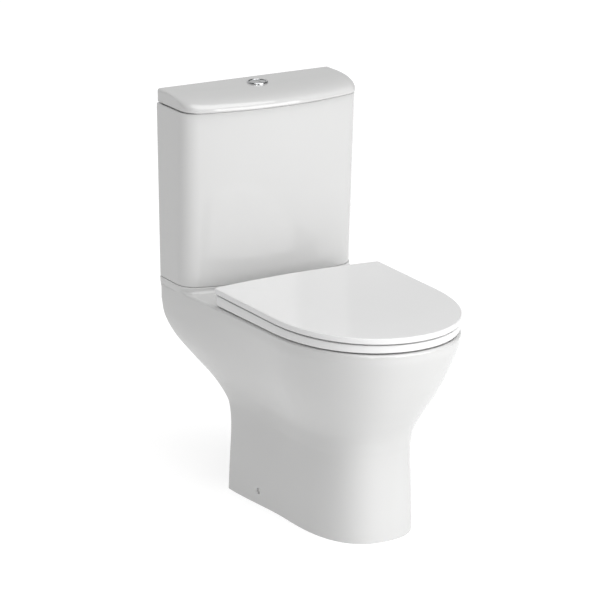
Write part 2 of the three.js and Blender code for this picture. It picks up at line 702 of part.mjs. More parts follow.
// The head clips on the four legs; the push rods run in its two guide slots.
function makeValveHead() {
  const bottom = VALVE_HEAD_BOTTOM_Z + 1 + GAP;
  const block = box(-30, 30, VALVE_Y - 30, VALVE_Y + 32, bottom, VALVE_HEAD_TOP_Z);
  const slots = [FULL_ROD_X, HALF_ROD_X].map((x) =>
    box(x - 3.5, x + 3.5, BUTTON_Y - 3.5, BUTTON_Y + 3.5, bottom + 6, VALVE_HEAD_TOP_Z + 1));
  const inside = box(-26, 26, VALVE_Y - 26, VALVE_Y + 10, bottom - 1, VALVE_HEAD_TOP_Z - 4);
  return geometryOf(without(solid(block), solid(inside), ...slots.map(solid)));
}

add("flush_valve_head", makeValveHead(), BLUE_PLASTIC);

// The overflow tube carries the seal disc at its foot and lifts off the seat to flush.
const TUBE_FOOT_Z = VALVE_SEAT_Z + GAP + 3;
add("overflow_tube", turned([
  [TUBE_RADIUS - 2, TUBE_FOOT_Z + GAP], [26, TUBE_FOOT_Z + GAP], [26, TUBE_FOOT_Z + 3],
  [TUBE_RADIUS, TUBE_FOOT_Z + 12], [TUBE_RADIUS, TUBE_TOP_Z], [TUBE_RADIUS - 2, TUBE_TOP_Z],
  [TUBE_RADIUS - 2, TUBE_FOOT_Z + GAP],
], 0, VALVE_Y, 20), WHITE_PLASTIC);
add("flush_seal", tubeUpright(28, 10, VALVE_SEAT_Z + GAP, TUBE_FOOT_Z, 0, VALVE_Y, 24), RUBBER);
add("flush_valve_washer",
  tubeUpright(40, FLUSH_HOLE_RADIUS + 1, WASHER_BOTTOM_Z, WASHER_TOP_Z, 0, VALVE_Y, 24), RUBBER);
add("flush_valve_backnut", hexagon(66, 29.5, SHELF_Z - 10, SHELF_Z, 0, VALVE_Y), WHITE_PLASTIC);
add("doughnut_washer", turned([
  [30, SHELF_Z - 24], [40, SHELF_Z - 24], [43, SHELF_Z - 20], [43, SHELF_Z - 14], [40, SHELF_Z - 10 - GAP],
  [30, SHELF_Z - 10 - GAP], [30, SHELF_Z - 24],
], 0, VALVE_Y, 24), RUBBER);

// ---- Fill valve ----

const SHANK_RADIUS = 10.3;
const SHANK_BOTTOM_Z = 346;
const RISER_RADIUS = 8;
const FILL_HEAD_Z = 644;
const FLOAT_BOTTOM_Z = 550;
const FLOAT_TOP_Z = 610;
const LEVER_Y = FILL_Y - 4;
const LEVER_Z = 658;
const LEVER_BORE = 1.9;
const FLOAT_POST_Y = LEVER_Y - 40;

add("fill_valve_riser", turned([
  [5, SHANK_BOTTOM_Z], [SHANK_RADIUS, SHANK_BOTTOM_Z], [SHANK_RADIUS, WASHER_TOP_Z + GAP],
  [18, WASHER_TOP_Z + GAP], [18, CISTERN_FLOOR_Z + 7], [RISER_RADIUS, CISTERN_FLOOR_Z + 12],
  [RISER_RADIUS, FILL_HEAD_Z - GAP], [5, FILL_HEAD_Z - GAP], [5, SHANK_BOTTOM_Z],
], FILL_X, FILL_Y, 16), WHITE_PLASTIC);
add("fill_valve_washer",
  tubeUpright(17, SHANK_RADIUS + 0.6, WASHER_BOTTOM_Z, WASHER_TOP_Z, FILL_X, FILL_Y, 16), RUBBER);
add("fill_valve_backnut",
  hexagon(28, SHANK_RADIUS + GAP, SHELF_Z - 8, SHELF_Z, FILL_X, FILL_Y), WHITE_PLASTIC);

// The head has two cheeks that hold the float lever between them.
function makeFillHead() {
  const body = upright(15, FILL_HEAD_Z, FILL_HEAD_Z + 9, FILL_X, FILL_Y, 16);
  const cheeks = [-6.5, 6.5].map((offset) => {
    const x = FILL_X + offset;
    return box(x - 2, x + 2, LEVER_Y - 5, LEVER_Y + 7, FILL_HEAD_Z + 8, LEVER_Z + 6);
  });
  const pinHole = crosswise(LEVER_BORE, FILL_X - 12, FILL_X + 12, LEVER_Y, LEVER_Z, 10);
  return geometryOf(without(joined(solid(body), ...cheeks.map(solid)), solid(pinHole)));
}

add("fill_valve_head", makeFillHead(), GREY_PLASTIC);

function makeLever() {
  const [left, right] = [FILL_X - 3.5, FILL_X + 3.5];
  const arm = box(left, right, FLOAT_POST_Y - 3, LEVER_Y, LEVER_Z - 2, LEVER_Z + 2);
  const eye = crosswise(4, left, right, LEVER_Y, LEVER_Z, 14);
  const hole = crosswise(LEVER_BORE, left - 5, right + 5, LEVER_Y, LEVER_Z, 10);
  return geometryOf(without(joined(solid(arm), solid(eye)), solid(hole)));
}

add("float_lever", makeLever(), WHITE_PLASTIC);
add("float_lever_pin", crosswise(1.5, FILL_X - 8.5, FILL_X + 8.5, LEVER_Y, LEVER_Z, 10), STEEL);

// The float is an upturned cup that slides on the riser and pushes the lever up with its post.
function makeFloat() {
  const bore = RISER_RADIUS + 1;
  const ceiling = FLOAT_TOP_Z - 3;
  const cup = turned([
    [bore, FLOAT_BOTTOM_Z], [bore + 2, FLOAT_BOTTOM_Z], [bore + 2, ceiling],
    [23, ceiling], [23, FLOAT_BOTTOM_Z], [25, FLOAT_BOTTOM_Z], [25, FLOAT_TOP_Z],
    [bore, FLOAT_TOP_Z], [bore, FLOAT_BOTTOM_Z],
  ], FILL_X, FILL_Y, 20);
  const [left, right] = [FILL_X - 3, FILL_X + 3];
  const front = FLOAT_POST_Y - 2.5;
  const bracket = box(left, right, front, FILL_Y - 20, FLOAT_TOP_Z - 8, ceiling);
  const post = box(left, right, front, front + 5, FLOAT_TOP_Z - 6, LEVER_Z - 3.2);
  return geometryOf(joined(solid(cup), solid(bracket), solid(post)));
}

add("fill_valve_float", makeFloat(), WHITE_PLASTIC);

// ---- Coupling set between the cistern and the pan ----

const BOLT_RADIUS = 4;
const SHELF_UNDERSIDE_Z = deckAt(VALVE_Y + 14) - DECK_THICKNESS;
for (const [side, x] of [["left", -COUPLING_BOLT_X], ["right", COUPLING_BOLT_X]]) {
  const washerTop = CISTERN_FLOOR_Z + GAP + 3;
  add(`coupling_washer_${side}`,
    tubeUpright(12, BOLT_RADIUS + GAP, CISTERN_FLOOR_Z + GAP, washerTop, x, VALVE_Y, 16), RUBBER);
  const shank = solid(upright(BOLT_RADIUS, SHELF_UNDERSIDE_Z - 32, washerTop + 1, x, VALVE_Y, 12));
  const head = solid(upright(9, washerTop + GAP, washerTop + 4, x, VALVE_Y, 16));
  add(`coupling_bolt_${side}`, geometryOf(joined(shank, head)), STEEL);
  add(`coupling_plate_${side}`, tubeUpright(14, BOLT_RADIUS + GAP, SHELF_UNDERSIDE_Z - GAP - 2.5,
    SHELF_UNDERSIDE_Z - GAP, x, VALVE_Y, 16), STEEL);
  const nutTop = SHELF_UNDERSIDE_Z - 2 * GAP - 2.5;
  const wings = solid(box(x - 16, x + 16, VALVE_Y - 1.5, VALVE_Y + 1.5, nutTop - 15, nutTop - 4));
  const hub = solid(upright(8, nutTop - 9, nutTop, x, VALVE_Y, 12));
  const bore = solid(upright(BOLT_RADIUS + GAP, nutTop - 20, nutTop + 2, x, VALVE_Y, 12));
  add(`coupling_wing_nut_${side}`, geometryOf(without(joined(hub, wings), bore)), BRASS);
}

// ---- Seat ring and cover ----

const DAMPER_INNER_X = 30;
const POST_INNER_X = HINGE_X - POST_WIDTH / 2;
const POST_OUTER_X = HINGE_X + POST_WIDTH / 2;
const KNUCKLE_OUTER_X = POST_OUTER_X + 12;
const SIDE_CLEARANCE = 0.8;
const COVER_KNUCKLE_WIDTH = 6;
const DAMPER_ROOM = 9;
const POST_FRONT_Y = HINGE_HOLE_Y - 12;

// A slab over the seat outline with rounded edges; its underside may slope.
function slab(shape, bottomAt, top, bottomEdge, topEdge, crown) {
  const level = (z, inset) => atHeight(lobe(shape, inset), z);
  const low = (rise, inset) => lobe(shape, inset).map(([x, y]) => [x, y, bottomAt(y) + rise]);
  return loft([
    low(0, bottomEdge),
    low(bottomEdge * 0.3, bottomEdge * 0.3),
    low(bottomEdge, 0),
    level(top - crown - topEdge, 0),
    level(top - crown - topEdge * 0.4, topEdge * 0.2),
    level(top - crown, topEdge),
    level(top, topEdge + 40),
  ]);
}

const ringBottomAt = (y) => deckAt(y) + RING_CLEARANCE;

function makeRing() {
  const opening = (z, inset) => atHeight(egg(SEAT_OPENING, inset, 8), z);
  const hole = loft([opening(DECK_Z - 6, 3), opening(RING_TOP_Z - 11, 0), opening(RING_TOP_Z - 5, 0),
    opening(RING_TOP_Z - 1.4, -2), opening(RING_TOP_Z + 3, -8)]);
  const cuts = [hole];
  const behind = HINGE_Y + 40;
  const below = DECK_Z - 10;
  const above = RING_TOP_Z + 5;
  for (const side of [-1, 1]) {
    const postRoom = [POST_INNER_X - SIDE_CLEARANCE, POST_OUTER_X + SIDE_CLEARANCE];
    const damperRoom = [DAMPER_INNER_X - 1, POST_INNER_X - 0.1];
    cuts.push(sideBox(side, ...postRoom, POST_FRONT_Y - 4, behind, below, above));
    cuts.push(sideBox(side, ...damperRoom, HINGE_Y - DAMPER_ROOM, behind, below, above));
  }
  const shape = {
    ...SEAT,
    wide: SEAT.wide - RING_INSET,
    front: SEAT.front + RING_INSET,
    backWide: SEAT.backWide - RING_INSET,
  };
  const body = without(solid(slab(shape, ringBottomAt, RING_TOP_Z, 2, 3, 0.2)), ...cuts.map(solid));
  const knuckles = [];
  const bores = [];
  for (const side of [-1, 1]) {
    const inner = side * (POST_OUTER_X + SIDE_CLEARANCE);
    const boreEnd = side * (KNUCKLE_OUTER_X - 2);
    knuckles.push(solid(crosswise(KNUCKLE_RADIUS, inner, side * KNUCKLE_OUTER_X, HINGE_Y, HINGE_Z)));
    bores.push(solid(crosswise(PIN_RADIUS + GAP, inner - side * 3, boreEnd, HINGE_Y, HINGE_Z, 12)));
  }
  return geometryOf(without(joined(body, ...knuckles), ...bores));
}

add("seat_ring", makeRing(), DUROPLAST);

// The cover's underside is recessed over the hinges, and a knuckle hangs down beside each post.
function makeCover() {
  const shape = { ...SEAT, bow: COVER_BACK_BOW };
  const recesses = [];
  const knuckles = [];
  const bores = [];
  for (const side of [-1, 1]) {
    const [front, back] = [HINGE_Y - DAMPER_ROOM, HINGE_Y + 40];
    const [left, right] = [DAMPER_INNER_X - 1, KNUCKLE_OUTER_X + 1];
    recesses.push(solid(sideBox(side, left, right, front, back, COVER_BOTTOM_Z - 3, HINGE_Z + HINGE_ROOM)));
    const outer = POST_INNER_X - SIDE_CLEARANCE;
    const inner = outer - COVER_KNUCKLE_WIDTH;
    const web = sideBox(side, inner, outer, HINGE_Y - 4, HINGE_Y + 4, HINGE_Z, COVER_TOP_Z - 4);
    const eye = crosswise(KNUCKLE_RADIUS, side * inner, side * outer, HINGE_Y, HINGE_Z);
    knuckles.push(joined(solid(eye), solid(web)));
    const bore = crosswise(PIN_RADIUS + GAP, side * (inner - 3), side * (outer + 3), HINGE_Y, HINGE_Z, 12);
    bores.push(solid(bore));
  }
  const plate = without(solid(slab(shape, () => COVER_BOTTOM_Z, COVER_TOP_Z, 1.2, 3, 1)), ...recesses);
  return geometryOf(without(joined(plate, ...knuckles), ...bores));
}

add("seat_cover", makeCover(), DUROPLAST);

// ---- Hinges ----

// Side view of a hinge post: a flat foot on the deck that rises to a round eye at the hinge line.
function makePost(x) {
  const foot = deckAt(POST_FRONT_Y) + GAP;
  const radius = KNUCKLE_RADIUS - 0.2;
  const side = new THREE.Shape();
  side.moveTo(POST_FRONT_Y, foot);
  side.lineTo(HINGE_Y + radius - 2.5, foot);
  side.lineTo(HINGE_Y + radius, HINGE_Z);
  side.absarc(HINGE_Y, HINGE_Z, radius, 0, Math.PI, false);
  side.lineTo(HINGE_Y - radius, foot + 9);
  side.quadraticCurveTo(HINGE_Y - radius, foot + 4, HINGE_Y - radius - 3.5, foot + 4);
  side.lineTo(POST_FRONT_Y, foot + 4);
  side.closePath();
  const options = { depth: POST_WIDTH, bevelEnabled: false, curveSegments: 8 };
  const geometry = new THREE.ExtrudeGeometry(side, options);
  geometry.rotateX(Math.PI / 2);
  geometry.rotateZ(Math.PI / 2);
  geometry.translate(x - POST_WIDTH / 2, 0, 0);
  const bore = crosswise(PIN_RADIUS + GAP, x - 20, x + 20, HINGE_Y, HINGE_Z, 12);
  const boltHole = upright(3.4, foot - 2, foot + 30, x, HINGE_HOLE_Y, 10);
  return geometryOf(without(solid(geometry), solid(bore), solid(boltHole)));
}

for (const [name, side] of [["left", -1], ["right", 1]]) {
  const x = side * HINGE_X;
  add(`hinge_post_${name}`, makePost(x), CHROME);
  const eyeInner = POST_INNER_X - SIDE_CLEARANCE - COVER_KNUCKLE_WIDTH;
  const pinEnd = side * (KNUCKLE_OUTER_X - 2 - GAP);
  add(`hinge_pin_${name}`,
    crosswise(PIN_RADIUS, side * (eyeInner + GAP), pinEnd, HINGE_Y, HINGE_Z, 12), STEEL);
  const damperEnd = side * (eyeInner - GAP);
  add(`soft_close_damper_${name}`,
    crosswise(KNUCKLE_RADIUS - 0.5, side * DAMPER_INNER_X, damperEnd, HINGE_Y, HINGE_Z, 14), GREY_PLASTIC);
  const underside = deckAt(HINGE_HOLE_Y + 13) - DECK_THICKNESS - GAP;
  const footTop = deckAt(POST_FRONT_Y) + GAP + 4;
  const bolt = solid(upright(3, underside - 24, footTop + 0.4, x, HINGE_HOLE_Y, 10));
  const boltHead = solid(upright(5.5, footTop + GAP, footTop + 2.5, x, HINGE_HOLE_Y, 12));
  add(`hinge_bolt_${name}`, geometryOf(joined(bolt, boltHead)), STEEL);
  const washer = tubeUpright(13, 3 + GAP, underside - 3, underside, x, HINGE_HOLE_Y, 14);
  add(`hinge_washer_${name}`, washer, RUBBER);
  const nutTop = underside - 3 - GAP;
  add(`hinge_nut_${name}`, hexagon(16, 3 + GAP, nutTop - 9, nutTop, x, HINGE_HOLE_Y), WHITE_PLASTIC);
}

// ---- Buffers ----

const PAD_RADIUS = 7;
const RING_PADS = [["front_left", -118, -209], ["front_right", 118, -209], ["back_left", -143, 16],
  ["back_right", 143, 16]];
for (const [name, x, y] of RING_PADS) {
  const bottom = deckAt(y - PAD_RADIUS) + GAP;
  const top = ringBottomAt(y + PAD_RADIUS) - GAP;
  add(`ring_buffer_${name}`, upright(PAD_RADIUS, bottom, top, x, y, 14), SOFT_PAD);
}
for (const [name, x] of [["left", -100], ["right", 100]]) {
  add(`cover_buffer_${name}`, upright(6, RING_TOP_Z + GAP, COVER_BOTTOM_Z - GAP, x, -240, 14), SOFT_PAD);
}

// ---- Floor fixings inside the foot ----

const BRACKET_LENGTH = 24;
const BRACKET_HEIGHT = 42;
const BRACKET_HALF_WIDTH = 15;

// Half width of the foot where its side holes are.
function footHalfAt(y, z) {
  const outline = lobe(panShape(z)).filter(([x]) => x > 0);
  const i = outline.findIndex((point) => point[1] > y);
  const [[x0, y0], [x1, y1]] = [outline[i - 1], outline[i]];
  return blend(x0, x1, (y - y0) / (y1 - y0));
}

for (const [name, side] of [["left", -1], ["right", 1]]) {
  const footHalf = footHalfAt(SIDE_HOLE_Y, SIDE_HOLE_Z);
  const wall = footHalfAt(SIDE_HOLE_Y - BRACKET_HALF_WIDTH, BRACKET_HEIGHT) - PAN_WALL - 2;
  const inner = wall - BRACKET_LENGTH;
  const [front, back] = [SIDE_HOLE_Y - BRACKET_HALF_WIDTH, SIDE_HOLE_Y + BRACKET_HALF_WIDTH];
  const standing = solid(sideBox(side, wall - 5, wall, front, back, 0, BRACKET_HEIGHT));
  const flat = solid(sideBox(side, inner, wall, front, back, 0, 5));
  const holes = [
    crosswise(2.6, side * (wall - 12), side * (wall + 8), SIDE_HOLE_Y, SIDE_HOLE_Z, 10),
    upright(3.5, -5, 10, side * (inner + 9), SIDE_HOLE_Y, 12),
  ];
  add(`floor_bracket_${name}`, geometryOf(without(joined(standing, flat), ...holes.map(solid))), STEEL);
  const headEnd = footHalf - 4;
  const shank = solid(crosswise(2.2, side * (wall - 14), side * headEnd, SIDE_HOLE_Y, SIDE_HOLE_Z, 10));
  const head = solid(crosswise(5, side * (headEnd - 2.5), side * headEnd, SIDE_HOLE_Y, SIDE_HOLE_Z, 14));
  add(`side_screw_${name}`, geometryOf(joined(shank, head)), STEEL);
  const [capStart, capEnd] = [side * (headEnd + GAP), side * (footHalf - 1.2)];
  add(`screw_cap_${name}`,
    crosswise(5.7, capStart, capEnd, SIDE_HOLE_Y, SIDE_HOLE_Z, 16), WHITE_PLASTIC);
}

export default toilet;
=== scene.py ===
import json
import math

import bpy
import numpy as np
from mathutils import Matrix, Vector


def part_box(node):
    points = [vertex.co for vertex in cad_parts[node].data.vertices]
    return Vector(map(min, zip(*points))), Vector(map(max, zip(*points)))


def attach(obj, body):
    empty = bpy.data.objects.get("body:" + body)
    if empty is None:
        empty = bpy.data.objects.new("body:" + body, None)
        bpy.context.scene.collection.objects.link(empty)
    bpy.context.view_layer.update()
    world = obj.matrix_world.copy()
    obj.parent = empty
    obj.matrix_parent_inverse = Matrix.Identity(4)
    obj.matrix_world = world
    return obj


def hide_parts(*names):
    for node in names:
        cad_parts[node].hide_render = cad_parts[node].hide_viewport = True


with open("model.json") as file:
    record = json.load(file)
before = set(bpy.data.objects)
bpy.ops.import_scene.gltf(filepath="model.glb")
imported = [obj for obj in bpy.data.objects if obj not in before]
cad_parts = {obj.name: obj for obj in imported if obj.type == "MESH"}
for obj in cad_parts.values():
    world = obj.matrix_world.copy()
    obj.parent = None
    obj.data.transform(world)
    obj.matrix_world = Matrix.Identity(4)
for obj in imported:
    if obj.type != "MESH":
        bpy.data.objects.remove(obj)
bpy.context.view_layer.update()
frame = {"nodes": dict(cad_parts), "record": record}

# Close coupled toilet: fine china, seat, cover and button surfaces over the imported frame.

MM = 0.001

# The Y of the whole object's middle in the layout below, which the frame's origin is under.
MIDDLE_Y = 4


def millimetres(node):
    """A node's lowest and highest corners in the layout below."""
    low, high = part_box(node)
    middle = np.array((0, MIDDLE_Y, 0))
    return np.array(low) / MM + middle, np.array(high) / MM + middle


# ---- Driving dimensions, in millimetres ----

pan_low, pan_high = millimetres("pan")
cover_low, cover_high = millimetres("seat_cover")
button_low, button_high = millimetres("full_flush_button")
cistern_high = millimetres("cistern")[1]
lid_high = millimetres("cistern_lid")[1]
bezel_high = millimetres("button_bezel")[1]

WALL_Y = round(cistern_high[1], 1)
SHELF_Z = round(pan_high[2], 1)
DECK_Z = 391
CISTERN_TOP_Z = round(cistern_high[2], 1)
LID_TOP_Z = round(lid_high[2], 1)
GAP = 0.3

PAN_WALL = 11
BOWL_WALL = 10
CISTERN_WALL = 9
DECK_THICKNESS = 14
DECK_UNDERSIDE_Z = DECK_Z - DECK_THICKNESS

# The deck climbs gently from the shelf to the front; DECK_Z is its level at Y = 0.
DECK_SLOPE = 0.0139
DECK_SLOPE_BOTTOM_Z = 300

# The pan's plan in the foot and at the rim. The powers shape its front lobe, across and lengthways.
FOOT = dict(
    wide=101.5, front=-205, widest_y=-19, back=186.5, back_wide=118, corner=9,
    powers=(2.5, 2.7),
)
RIM = dict(
    wide=172, front=round(pan_low[1], 1), widest_y=-70.5, back=WALL_Y, back_wide=186, corner=12,
    powers=(2.3, 2.2),
)
RIM_EDGE_RADIUS = 5.5
FOOT_EDGE_RADIUS = 0.8

# The pan's rings are closer together above this height.
FINE_RINGS_Z = 150

# The foot widens by this much towards the floor.
FOOT_SPREAD = 3.2
FOOT_SPREAD_TOP_Z = 130

# How far the front and the back have spread from the foot to the rim, at heights above the floor.
FRONT_SPREAD = [
    (165, 0), (200, 0.075), (235, 0.265), (270, 0.485), (305, 0.68), (340, 0.845), (370, 0.965),
    (DECK_Z, 1),
]
BACK_SPREAD = [
    (0, 0), (60, -0.02), (130, -0.045), (165, -0.03), (185, 0.012), (220, 0.21), (255, 0.51), (290, 0.79),
    (325, 0.95), (360, 1),
]

CISTERN_BASE = dict(half=185.3, front=191.2, corner=43)
CISTERN_TOP = dict(half=188.2, front=178.4, corner=37.5)
SHELF = dict(half=186, front=189.5, corner=43)
LID = dict(half=186, front=172, corner=39)
FRONT_BOW_RADIUS = 557
CISTERN_BACK_RADIUS = 6

# The smallest radii that an inset leaves at the corners.
LEAST_LOBE_CORNER = 1
LEAST_FRONT_CORNER = 4
LEAST_BACK_CORNER = 2

SEAT = dict(
    wide=176, front=round(cover_low[1], 1), widest_y=-69, back=121.5, back_wide=178, corner=6,
    powers=(2.06, 2.34),
)
RING_INSET = 3
RING_CLEARANCE = 2.8
RING_TOP_Z = 413.4
COVER_BOTTOM_Z = 415.4
COVER_TOP_Z = round(cover_high[2], 1)
COVER_BACK_BOW = 12
SEAT_OPENING = dict(wide=108, front=-262, widest_y=-114, back=26)

HINGE_X = 77.5
HINGE_Y = SEAT["back"] + 0.5
HINGE_Z = RING_TOP_Z + 0.5
HINGE_ROOM = 7.2
KNUCKLE_RADIUS = 6
PIN_RADIUS = 2.5
POST_WIDTH = 19
POST_INNER_X = HINGE_X - POST_WIDTH / 2
POST_OUTER_X = HINGE_X + POST_WIDTH / 2
KNUCKLE_OUTER_X = POST_OUTER_X + 12
DAMPER_INNER_X = 30
SIDE_CLEARANCE = 0.8
DAMPER_ROOM = 9
POST_FRONT_Y = 93

VALVE_Y = 252
FILL_X = -126
FILL_Y = 258
BUTTON_Y = 271
BUTTON_SPLIT_X = 4
COUPLING_BOLT_X = 75
CISTERN_FLOOR_Z = SHELF_Z + GAP + 11
QUARTER = math.pi / 2

# How far a cutting tool runs on past the surface that it cuts.
PAST = 5


# ---- Solids ----

def piece_from(name, points, faces):
    mesh = bpy.data.meshes.new(name)
    mesh.from_pydata([(x * MM, (y - MIDDLE_Y) * MM, z * MM) for x, y, z in points], [], faces)
    mesh.validate()
    piece = bpy.data.objects.new(name, mesh)
    bpy.context.scene.collection.objects.link(piece)
    return piece


def loft(rings, name="tool"):
    """A closed skin over rings of points, anticlockwise seen from the last ring, with flat ends."""
    size = len(rings[0])
    points = [tuple(point) for ring in rings for point in ring]
    faces = []
    for level in range(len(rings) - 1):
        for i in range(size):
            a = level * size + i
            b = level * size + (i + 1) % size
            faces.append((a, b, b + size, a + size))
    faces.append(tuple(reversed(range(size))))
    faces.append(tuple(range(len(points) - size, len(points))))
    return piece_from(name, points, faces)


def torus(profile, x, y, sides, name="tool"):
    """A turned body from a closed profile of (radius, height) points, anticlockwise in that plane."""
    count = len(profile)
    points = []
    faces = []
    for i in range(sides):
        turn = 2 * math.pi * i / sides
        points += [(x + r * math.cos(turn), y + r * math.sin(turn), z) for r, z in profile]
        after = (i + 1) % sides
        for k in range(count):
            n = (k + 1) % count
            faces.append((i * count + k, after * count + k, after * count + n, i * count + n))
    return piece_from(name, points, faces)


def circle(radius, x, y, z, sides):
    turns = [2 * math.pi * i / sides for i in range(sides)]
    return [(x + radius * math.cos(t), y + radius * math.sin(t), z) for t in turns]


def upright(radius, bottom, top, x, y, sides=48):
    return loft([circle(radius, x, y, bottom, sides), circle(radius, x, y, top, sides)])


def crosswise(radius, x0, x1, y, z, sides=32):
    low, high = min(x0, x1), max(x0, x1)
    turns = [2 * math.pi * i / sides for i in range(sides)]
    rings = [[(x, y + radius * math.cos(t), z + radius * math.sin(t)) for t in turns] for x in (low, high)]
    return loft(rings)


def block(x0, x1, y0, y1, z0, z1):
    low, high = min(x0, x1), max(x0, x1)
    corners = [(low, y0), (high, y0), (high, y1), (low, y1)]
    return loft([[(x, y, z) for x, y in corners] for z in (z0, z1)])


def cut_or_join(target, tools, operation):
    for tool in tools:
        step = target.modifiers.new("step", "BOOLEAN")
        step.operation = operation
        step.solver = "MANIFOLD"
        step.object = tool
        bpy.context.view_layer.update()
        evaluated = target.evaluated_get(bpy.context.evaluated_depsgraph_get())
        mesh = bpy.data.meshes.new_from_object(evaluated)
        target.modifiers.clear()
        spent = target.data
        target.data = mesh
        bpy.data.meshes.remove(spent)
        bpy.data.objects.remove(tool)
    return target


def join(target, *tools):
    return cut_or_join(target, tools, "UNION")


def cut(target, *tools):
    return cut_or_join(target, tools, "DIFFERENCE")


def common(target, tool):
    return cut_or_join(target, [tool], "INTERSECT")


def shade(piece, sharp_degrees=30):
    """Smooth shading that keeps the real edges and leaves flat faces flat."""
    mesh = piece.data
    mesh.shade_smooth()
    mesh.set_sharp_from_angle(angle=math.radians(sharp_degrees))
    weighted = piece.modifiers.new("weighted", "WEIGHTED_NORMAL")
    weighted.keep_sharp = True
    weighted.weight = 60
    return piece


def bevel_edges(piece, name, width, segments, from_degrees):
    """A bevel on the edges sharper than an angle."""
    bevel = piece.modifiers.new(name, "BEVEL")
    bevel.width = width * MM
    bevel.segments = segments
    bevel.limit_method = "ANGLE"
    bevel.angle_limit = math.radians(from_degrees)
    return bevel


# ---- Plan outlines ----

def clamp(t):
    return min(max(t, 0.0), 1.0)


def ease(t):
    t = clamp(t)
    return t * t * (3 - 2 * t)


def mix(a, b, t):
    return a + (b - a) * t


def along(pairs, z):
    """A smooth curve through (height, value) pairs, level beyond both ends."""
    heights = [pair[0] for pair in pairs]
    values = [pair[1] for pair in pairs]
    if z <= heights[0]:
        return values[0]
    if z >= heights[-1]:
        return values[-1]

    def slope(i):
        before, after = max(i - 1, 0), min(i + 1, len(pairs) - 1)
        return (values[after] - values[before]) / (heights[after] - heights[before])
    i = int(np.searchsorted(heights, z, side="right")) - 1
    span = heights[i + 1] - heights[i]
    t = (z - heights[i]) / span
    bends = span * slope(i) * t * (1 - t) ** 2 - span * slope(i + 1) * t * t * (1 - t)
    return values[i] * (1 + 2 * t) * (1 - t) ** 2 + values[i + 1] * t * t * (3 - 2 * t) + bends


def deck_at(y):
    return DECK_Z - DECK_SLOPE * y


def with_deck(ring):
    """A ring of points tilted with the deck, fully at its level and less below it."""
    full = DECK_Z - RIM_EDGE_RADIUS - DECK_SLOPE_BOTTOM_Z
    return [(x, y, z - DECK_SLOPE * y * clamp((z - DECK_SLOPE_BOTTOM_Z) / full)) for x, y, z in ring]


def mirrored(half):
    """The right half runs from the front middle to the back middle; the left half mirrors it."""
    return half + [(-x, y) for x, y in reversed(half[1:-1])]


def at_height(outline, z):
    return [(x, y, z) for x, y in outline]


FRONT_STEPS = 56
SIDE_STEPS = 36
CORNER_STEPS = 6
BACK_STEPS = 10


def lobe(shape, inset=0.0):
    """A long rounded front, sides that ease to the back width, and small back corners."""
    wide = shape["wide"] - inset
    front = shape["front"] + inset
    back_wide = shape["back_wide"] - inset
    back = shape["back"] - inset
    corner = max(shape["corner"] - inset, LEAST_LOBE_CORNER)
    widest_y = shape["widest_y"]
    across, lengthways = shape["powers"]
    half = []
    for i in range(FRONT_STEPS + 1):
        turn = QUARTER * i / FRONT_STEPS
        y = widest_y - (widest_y - front) * max(math.cos(turn), 0) ** (2 / lengthways)
        half.append((wide * math.sin(turn) ** (2 / across), y))
    corner_start = back - corner
    for i in range(1, SIDE_STEPS + 1):
        t = i / SIDE_STEPS
        half.append((mix(wide, back_wide, ease(t)), mix(widest_y, corner_start, t)))
    for i in range(1, CORNER_STEPS + 1):
        turn = QUARTER * i / CORNER_STEPS
        half.append((back_wide - corner + corner * math.cos(turn), corner_start + corner * math.sin(turn)))
    bow = shape.get("bow", 0)
    last_x = back_wide - corner
    for i in range(1, BACK_STEPS + 1):
        x = last_x * (1 - i / BACK_STEPS)
        half.append((x, back + bow * (1 - (x / last_x) ** 2)))
    return mirrored(half)


EGG_POWER = 0.9


def egg(shape, inset=0.0, steps=44):
    """A closed egg whose front half and back half are two different ellipse-like curves."""
    wide = shape["wide"] - inset
    half = []
    for i in range(2 * steps + 1):
        turn = math.pi * i / (2 * steps)
        ahead = shape["widest_y"] - shape["front"] - inset
        behind = shape["back"] - inset - shape["widest_y"]
        reach = ahead if i <= steps else behind
        bulge = math.copysign(abs(math.cos(turn)) ** EGG_POWER, math.cos(turn))
        x = 0 if i in (0, 2 * steps) else wide * math.sin(turn) ** EGG_POWER
        half.append((x, shape["widest_y"] - reach * bulge))
    return mirrored(half)


def cistern_outline(shape, inset=0.0, front_inset=None, bow_steps=30, corner_steps=14):
    """A gently bowed front, rounded front corners, straight sides and a flat back."""
    front_inset = inset if front_inset is None else front_inset
    half = shape["half"] - inset
    corner = max(shape["corner"] - inset, LEAST_FRONT_CORNER)
    bow_centre_y = shape["front"] + front_inset + FRONT_BOW_RADIUS
    corner_x = half - corner
    corner_y = bow_centre_y - math.sqrt((FRONT_BOW_RADIUS - corner) ** 2 - corner_x ** 2)
    bow_end = math.atan2(corner_x, bow_centre_y - corner_y)
    points = []
    for i in range(bow_steps + 1):
        turn = bow_end * i / bow_steps
        points.append((FRONT_BOW_RADIUS * math.sin(turn), bow_centre_y - FRONT_BOW_RADIUS * math.cos(turn)))
    for i in range(1, corner_steps + 1):
        turn = mix(bow_end, QUARTER, i / corner_steps)
        points.append((corner_x + corner * math.sin(turn), corner_y - corner * math.cos(turn)))
    back_radius = max(CISTERN_BACK_RADIUS - inset, LEAST_BACK_CORNER)
    back_y = WALL_Y - inset
    side_start = points[-1][1]
    side_steps = 8
    for i in range(1, side_steps):
        points.append((half, mix(side_start, back_y - back_radius, i / side_steps)))
    for i in range(CORNER_STEPS + 1):
        turn = QUARTER * i / CORNER_STEPS
        x = half - back_radius + back_radius * math.cos(turn)
        points.append((x, back_y - back_radius + back_radius * math.sin(turn)))
    for i in range(1, BACK_STEPS + 1):
        points.append(((half - back_radius) * (1 - i / BACK_STEPS), back_y))
    return mirrored(points)


